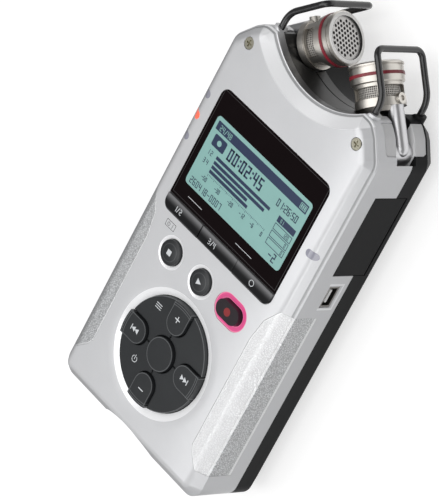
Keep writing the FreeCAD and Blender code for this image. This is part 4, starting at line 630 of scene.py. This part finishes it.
def soften(node, width):
    """Rounds a CAD node's sharp edges with modifiers, which leave its own mesh as it is."""
    weld = node.modifiers.new("weld", "WELD")
    weld.merge_threshold = 0.002 * MM
    bevel = node.modifiers.new("soft_edges", "BEVEL")
    bevel.width = width * MM
    bevel.segments = 3
    bevel.limit_method = "ANGLE"
    bevel.angle_limit = math.radians(28)
    bevel.harden_normals = False
    bevel.use_clamp_overlap = True
    normals = node.modifiers.new("even_normals", "WEIGHTED_NORMAL")
    normals.keep_sharp = True


for look, names in LOOKS:
    for name in names.split():
        NODES[name].data.materials.clear()
        NODES[name].data.materials.append(look)
for width, names in ROUNDINGS:
    for name in names.split():
        soften(NODES[name], width)


# Flat shapes, in millimetres

def rectangle(low_x, low_y, high_x, high_y):
    """Corners of a rectangle, anticlockwise."""
    return [(low_x, low_y), (high_x, low_y), (high_x, high_y), (low_x, high_y)]


def rounded(low_x, low_y, high_x, high_y, radius):
    """A rectangle with round corners: quarter arcs c + r (cos a, sin a) at each corner."""
    angle = np.linspace(0, math.pi / 2, 8)
    corners = ((high_x - radius, high_y - radius), (low_x + radius, high_y - radius),
               (low_x + radius, low_y + radius), (high_x - radius, low_y + radius))
    return np.vstack([np.column_stack((x + radius * np.cos(angle + turn * math.pi / 2),
                                       y + radius * np.sin(angle + turn * math.pi / 2)))
                      for turn, (x, y) in enumerate(corners)])


def frame_strips(low_x, low_y, high_x, high_y, width):
    """Four strips that outline a rectangle."""
    return [rectangle(low_x, low_y, high_x, low_y + width),
            rectangle(low_x, high_y - width, high_x, high_y),
            rectangle(low_x, low_y + width, low_x + width, high_y - width),
            rectangle(high_x - width, low_y + width, high_x, high_y - width)]


def triangle(x, y, size, side):
    """A triangle that points right (side 1) or left (side -1)."""
    back, point = x - side * size / 2, x + side * size / 2
    return [(back, y - size * 0.62), (point, y), (back, y + size * 0.62)]


def disc(x, y, radius):
    """A round outline: c + r (cos a, sin a)."""
    angle = np.linspace(0, 2 * math.pi, 40, endpoint=False)
    return np.column_stack((x + radius * np.cos(angle), y + radius * np.sin(angle)))


def arc_band(x, y, radius, width, start, end):
    """A band along an arc, c + (r +- w / 2) (cos a, sin a), from one angle to another in degrees."""
    angle = np.radians(np.linspace(start, end, 32))
    outer, inner = (np.column_stack((x + reach * np.cos(angle), y + reach * np.sin(angle)))
                    for reach in (radius + width / 2, radius - width / 2))
    return np.vstack((outer, inner[::-1]))


SEGMENTS = {"0": "abcdef", "1": "bc", "2": "abged", "3": "abgcd", "4": "fgbc", "5": "afgcd", "6": "afgedc",
            "7": "abc", "8": "abcdefg", "9": "abcdfg", "-": "g"}


def figure(text, x, y, height, pitch=0.62, stroke=0.13):
    """Plain numbers of seven strokes each, from their lower left corner."""
    shapes = []
    wide, thick, half = height * 0.46, height * stroke, height / 2
    for letter in text:
        if letter == ":":
            for rise in (0.45, 1.3):
                low = y + half * rise
                shapes.append(rectangle(x, low, x + thick * 1.2, low + thick * 1.2))
            x += height * 0.28
            continue
        if letter == "/":
            shapes.append([(x, y), (x + thick, y), (x + wide, y + height), (x + wide - thick, y + height)])
        else:
            right = x + wide
            strokes = {"a": (x, y + height - thick, right, y + height),
                       "b": (right - thick, y + half, right, y + height),
                       "c": (right - thick, y, right, y + half),
                       "d": (x, y, right, y + thick),
                       "e": (x, y, x + thick, y + half),
                       "f": (x, y + half, x + thick, y + height),
                       "g": (x, y + half - thick / 2, right, y + half + thick / 2)}
            shapes += [rectangle(*strokes[name]) for name in SEGMENTS[letter]]
        x += height * pitch
    return shapes


def moved(shapes, centre):
    """Outlines drawn about zero, moved to a centre."""
    return [np.asarray(shape) + centre for shape in shapes]


# Pieces made from flat shapes

def piece(name, points, faces, look, body):
    """A mesh from points in millimetres, with its material, riding on a CAD body."""
    mesh = bpy.data.meshes.new(name)
    mesh.from_pydata((np.asarray(points) * MM).tolist(), [], faces)
    mesh.validate()
    mesh.materials.append(look)
    made = bpy.data.objects.new(name, mesh)
    bpy.context.scene.collection.objects.link(made)
    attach(made, body)


def plates(name, outlines, base, rise, look, body="case"):
    """Thin plates from closed outlines: each starts just under a base height and ends a rise above it."""
    points, faces = [], []
    start = 0
    for outline in outlines:
        ring = np.asarray(outline, dtype=float)
        count = len(ring)
        for level in (base - PRINT_SUNK, base + rise):
            points.append(np.column_stack((ring, np.full(count, level))))
        around = np.arange(count)
        after = (around + 1) % count
        sides = np.column_stack((around, after, after + count, around + count)) + start
        faces += sides.tolist() + [(around + count + start).tolist()]
        start += 2 * count
    piece(name, np.vstack(points), faces, look, body)


def block(name, low, high, look):
    """A plain block on the case between two corners."""
    corners = [(x, y, z) for x in (low[0], high[0]) for y in (low[1], high[1]) for z in (low[2], high[2])]
    faces = [(0, 1, 3, 2), (4, 6, 7, 5), (0, 4, 5, 1), (2, 3, 7, 6), (0, 2, 6, 4), (1, 5, 7, 3)]
    piece(name, corners, faces, look, "case")


# The display picture: numbers, level bars and plain boxes

def on_display(a, b):
    """A place on the display: a from left to right, b from top to bottom, both 0 to 1."""
    return (DISPLAY_LOW[0] + a * (DISPLAY_HIGH[0] - DISPLAY_LOW[0]),
            DISPLAY_HIGH[1] - b * (DISPLAY_HIGH[1] - DISPLAY_LOW[1]))


def display_box(a0, b0, a1, b1):
    """The lowest and highest x and y between two places on the display."""
    (low_x, high_y), (high_x, low_y) = on_display(a0, b0), on_display(a1, b1)
    return low_x, low_y, high_x, high_y


def display_figure(text, a, b, height, **options):
    """Numbers on the display from a lower left place."""
    return figure(text, *on_display(a, b), height, **options)


def dark_marks():
    """Header, record box, clocks, level bars with a scale, channel numbers, a file number and side boxes."""
    marks = [rectangle(*display_box(0.025, 0.055, 0.975, 0.175)),
             rounded(*display_box(0.05, 0.215, 0.175, 0.375), 0.6)]
    marks += display_figure("00:02:45", 0.215, 0.385, 4.1, stroke=0.15)
    marks += display_figure("01:26:50", 0.735, 0.355, 2.5, pitch=0.58)
    for b, end in ((0.458, 0.711), (0.527, 0.675), (0.592, 0.518), (0.657, 0.545)):
        marks.append(rectangle(*display_box(0.142, b - 0.022, end, b + 0.022)))
    for i, a in enumerate(np.linspace(0.145, 0.745, 46)):
        tick = 0.016 if i % 5 else 0.030
        marks.append(rectangle(*display_box(a, 0.700, a + 0.004, 0.700 + tick)))
    scale = (("-50", 0.105), ("-30", 0.245), ("-20", 0.385), ("-12", 0.51), ("-6", 0.625), ("0", 0.735))
    for text, a in scale:
        marks += display_figure(text, a, 0.815, 1.5, pitch=0.6, stroke=0.15)
    for text, a, b in (("1", 0.055, 0.50), ("2", 0.085, 0.50), ("3", 0.055, 0.63), ("4", 0.085, 0.63)):
        marks += display_figure(text, a, b, 1.7)
    marks += display_figure("260418-0007", 0.035, 0.965, 2.3, stroke=0.12)
    marks += display_figure("-2", 0.865, 0.965, 3.0)
    marks.append(rectangle(*display_box(0.80, 0.42, 0.975, 0.505)))
    for text, b, from_right in (("120", 0.525, 3.6), ("0", 0.63, 1.5), ("0", 0.735, 1.5)):
        box = display_box(0.80, b, 0.975, b + 0.09)
        marks += frame_strips(*box, 0.22)
        marks += figure(text, box[2] - from_right, box[1] + 0.4, 1.4)
    return marks


def pale_marks():
    """On the dark header and boxes: a rate, a record dot, a cell with three bars and a number."""
    low_x, low_y, high_x, high_y = display_box(0.905, 0.075, 0.965, 0.155)
    marks = display_figure("24/48", 0.06, 0.158, 1.9)
    marks.append(disc(*on_display(0.1125, 0.295), 0.95))
    marks += frame_strips(low_x, low_y, high_x, high_y, 0.22)
    for i in range(3):
        bar_x = low_x + 0.45 + 0.75 * i
        marks.append(rectangle(bar_x, low_y + 0.4, bar_x + 0.5, high_y - 0.4))
    return marks + display_figure("01", 0.83, 0.49, 1.3)


plates("display_face", [rounded(*DISPLAY_LOW, *DISPLAY_HIGH, 1.4)], FRONT, DISPLAY_RISE, LCD)
plates("display_marks", dark_marks(), FRONT + DISPLAY_RISE, PRINT_RISE, FIGURES)
plates("display_pale_marks", pale_marks(), FRONT + DISPLAY_RISE + PRINT_RISE, FINE_RISE, LCD)

# Marks on the window, the keys and the face

window_low, window_high = (np.array(corner[:2]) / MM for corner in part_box("display_window"))
# Painted highlight: a faint pale line along the window's bevel
plates("window_bevel_highlight", frame_strips(*(window_low + 0.8), *(window_high - 0.8), 0.16), FRONT, 0.01, FAINT)
plates("window_lines", [rectangle(-19.6, -0.5, -12.6, -0.32), rectangle(4.6, -0.5, 12.6, -0.32)],
       FRONT, FINE_RISE, PALE)
SIGNS = (
    ("left_numbers", "left_soft_key", figure("1/2", -21.5, -6.95, 1.9)),
    ("middle_numbers", "middle_soft_key", figure("3/4", -4.2, -6.95, 1.9)),
    ("right_sign", "right_soft_key", [arc_band(17.5, -6.0, 0.95, 0.22, 0, 358)]),
    ("stop_sign", "stop_button", moved([rectangle(-0.9, -0.9, 0.9, 0.9)], STOP)),
    ("play_sign", "play_button", moved([[(-0.8, -1.05), (1.25, 0.0), (-0.8, 1.05)]], PLAY)),
    ("record_sign", "record_button", [disc(*RECORD, 1.35)]),
    ("skip_forward_sign", "skip_forward_key",
     moved([triangle(12.0, 0.0, 1.5, 1), triangle(13.5, 0.0, 1.5, 1),
            rectangle(14.3, -0.95, 14.62, 0.95)], WHEEL)),
    ("skip_back_sign", "skip_back_key",
     moved([triangle(-12.0, 0.0, 1.5, -1), triangle(-13.5, 0.0, 1.5, -1),
            rectangle(-14.62, -0.95, -14.3, 0.95)], WHEEL)),
    ("plus_sign", "plus_key",
     moved([rectangle(-1.15, 13.15, 1.15, 13.5), rectangle(-0.17, 12.2, 0.17, 13.15),
            rectangle(-0.17, 13.5, 0.17, 14.45)], WHEEL)),
    ("minus_sign", "minus_key", moved([rectangle(-1.15, -13.85, 1.15, -13.5)], WHEEL)),
    ("power_sign", "lower_left_key",
     moved([arc_band(-8.4, -8.1, 1.05, 0.22, 120, 420), rectangle(-8.51, -8.25, -8.29, -6.6)], WHEEL)),
    ("upper_left_sign", "upper_left_key",
     moved([rectangle(-10.9, low, -8.2, low + 0.25) for low in (10.6, 11.35, 12.1)], WHEEL)),
)
for name, node, shapes in SIGNS:
    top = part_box(node)[1][2] / MM
    plates(name, shapes, top, PRINT_RISE, RED_DOT if node == "record_button" else PALE, node)
plates("power_box", frame_strips(-22.6, -13.1, -18.2, -10.8, 0.16)
       + [arc_band(-21.2, -12.0, 0.55, 0.15, 125, 415), rectangle(-21.28, -12.0, -21.12, -11.2),
          rectangle(-19.5, -12.65, -19.34, -11.3)], FRONT, FINE_RISE, INK)

# Data socket: the tongue inside it and the bright rim round it on the side wall

(_, low_y, low_z), (mouth_x, high_y, high_z) = (np.array(corner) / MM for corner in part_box("usb_socket"))
middle_z = (low_z + high_z) / 2
block("usb_tongue", (mouth_x - 1.2, low_y + 1.6, middle_z - 0.55),
      (mouth_x - 0.2, high_y - 1.3, middle_z + 0.25), TONGUE)
rim_gap, rim_reach = 0.5, 1.2
rim_bottom, rim_top = low_z - 1.5, high_z - 0.6
for name, rim_low, rim_high in (
        ("usb_rim_low", (low_y - rim_reach, rim_bottom), (low_y - rim_gap, rim_top)),
        ("usb_rim_high", (high_y + rim_gap, rim_bottom), (high_y + rim_reach, rim_top)),
        ("usb_rim_side", (low_y - rim_gap, rim_bottom), (high_y + rim_gap, low_z - 0.9))):
    block(name, (SIDE - 0.2, *rim_low), (SIDE + 0.02, *rim_high), BRIGHT)

# Floor

floor_mesh = bpy.data.meshes.new("floor")
floor_mesh.from_pydata([(-3, -3, 0), (3, -3, 0), (3, 3, 0), (-3, 3, 0)], [], [(0, 1, 2, 3)])
floor_mesh.materials.append(floor_material())
floor = bpy.data.objects.new("floor", floor_mesh)
bpy.context.scene.collection.objects.link(floor)
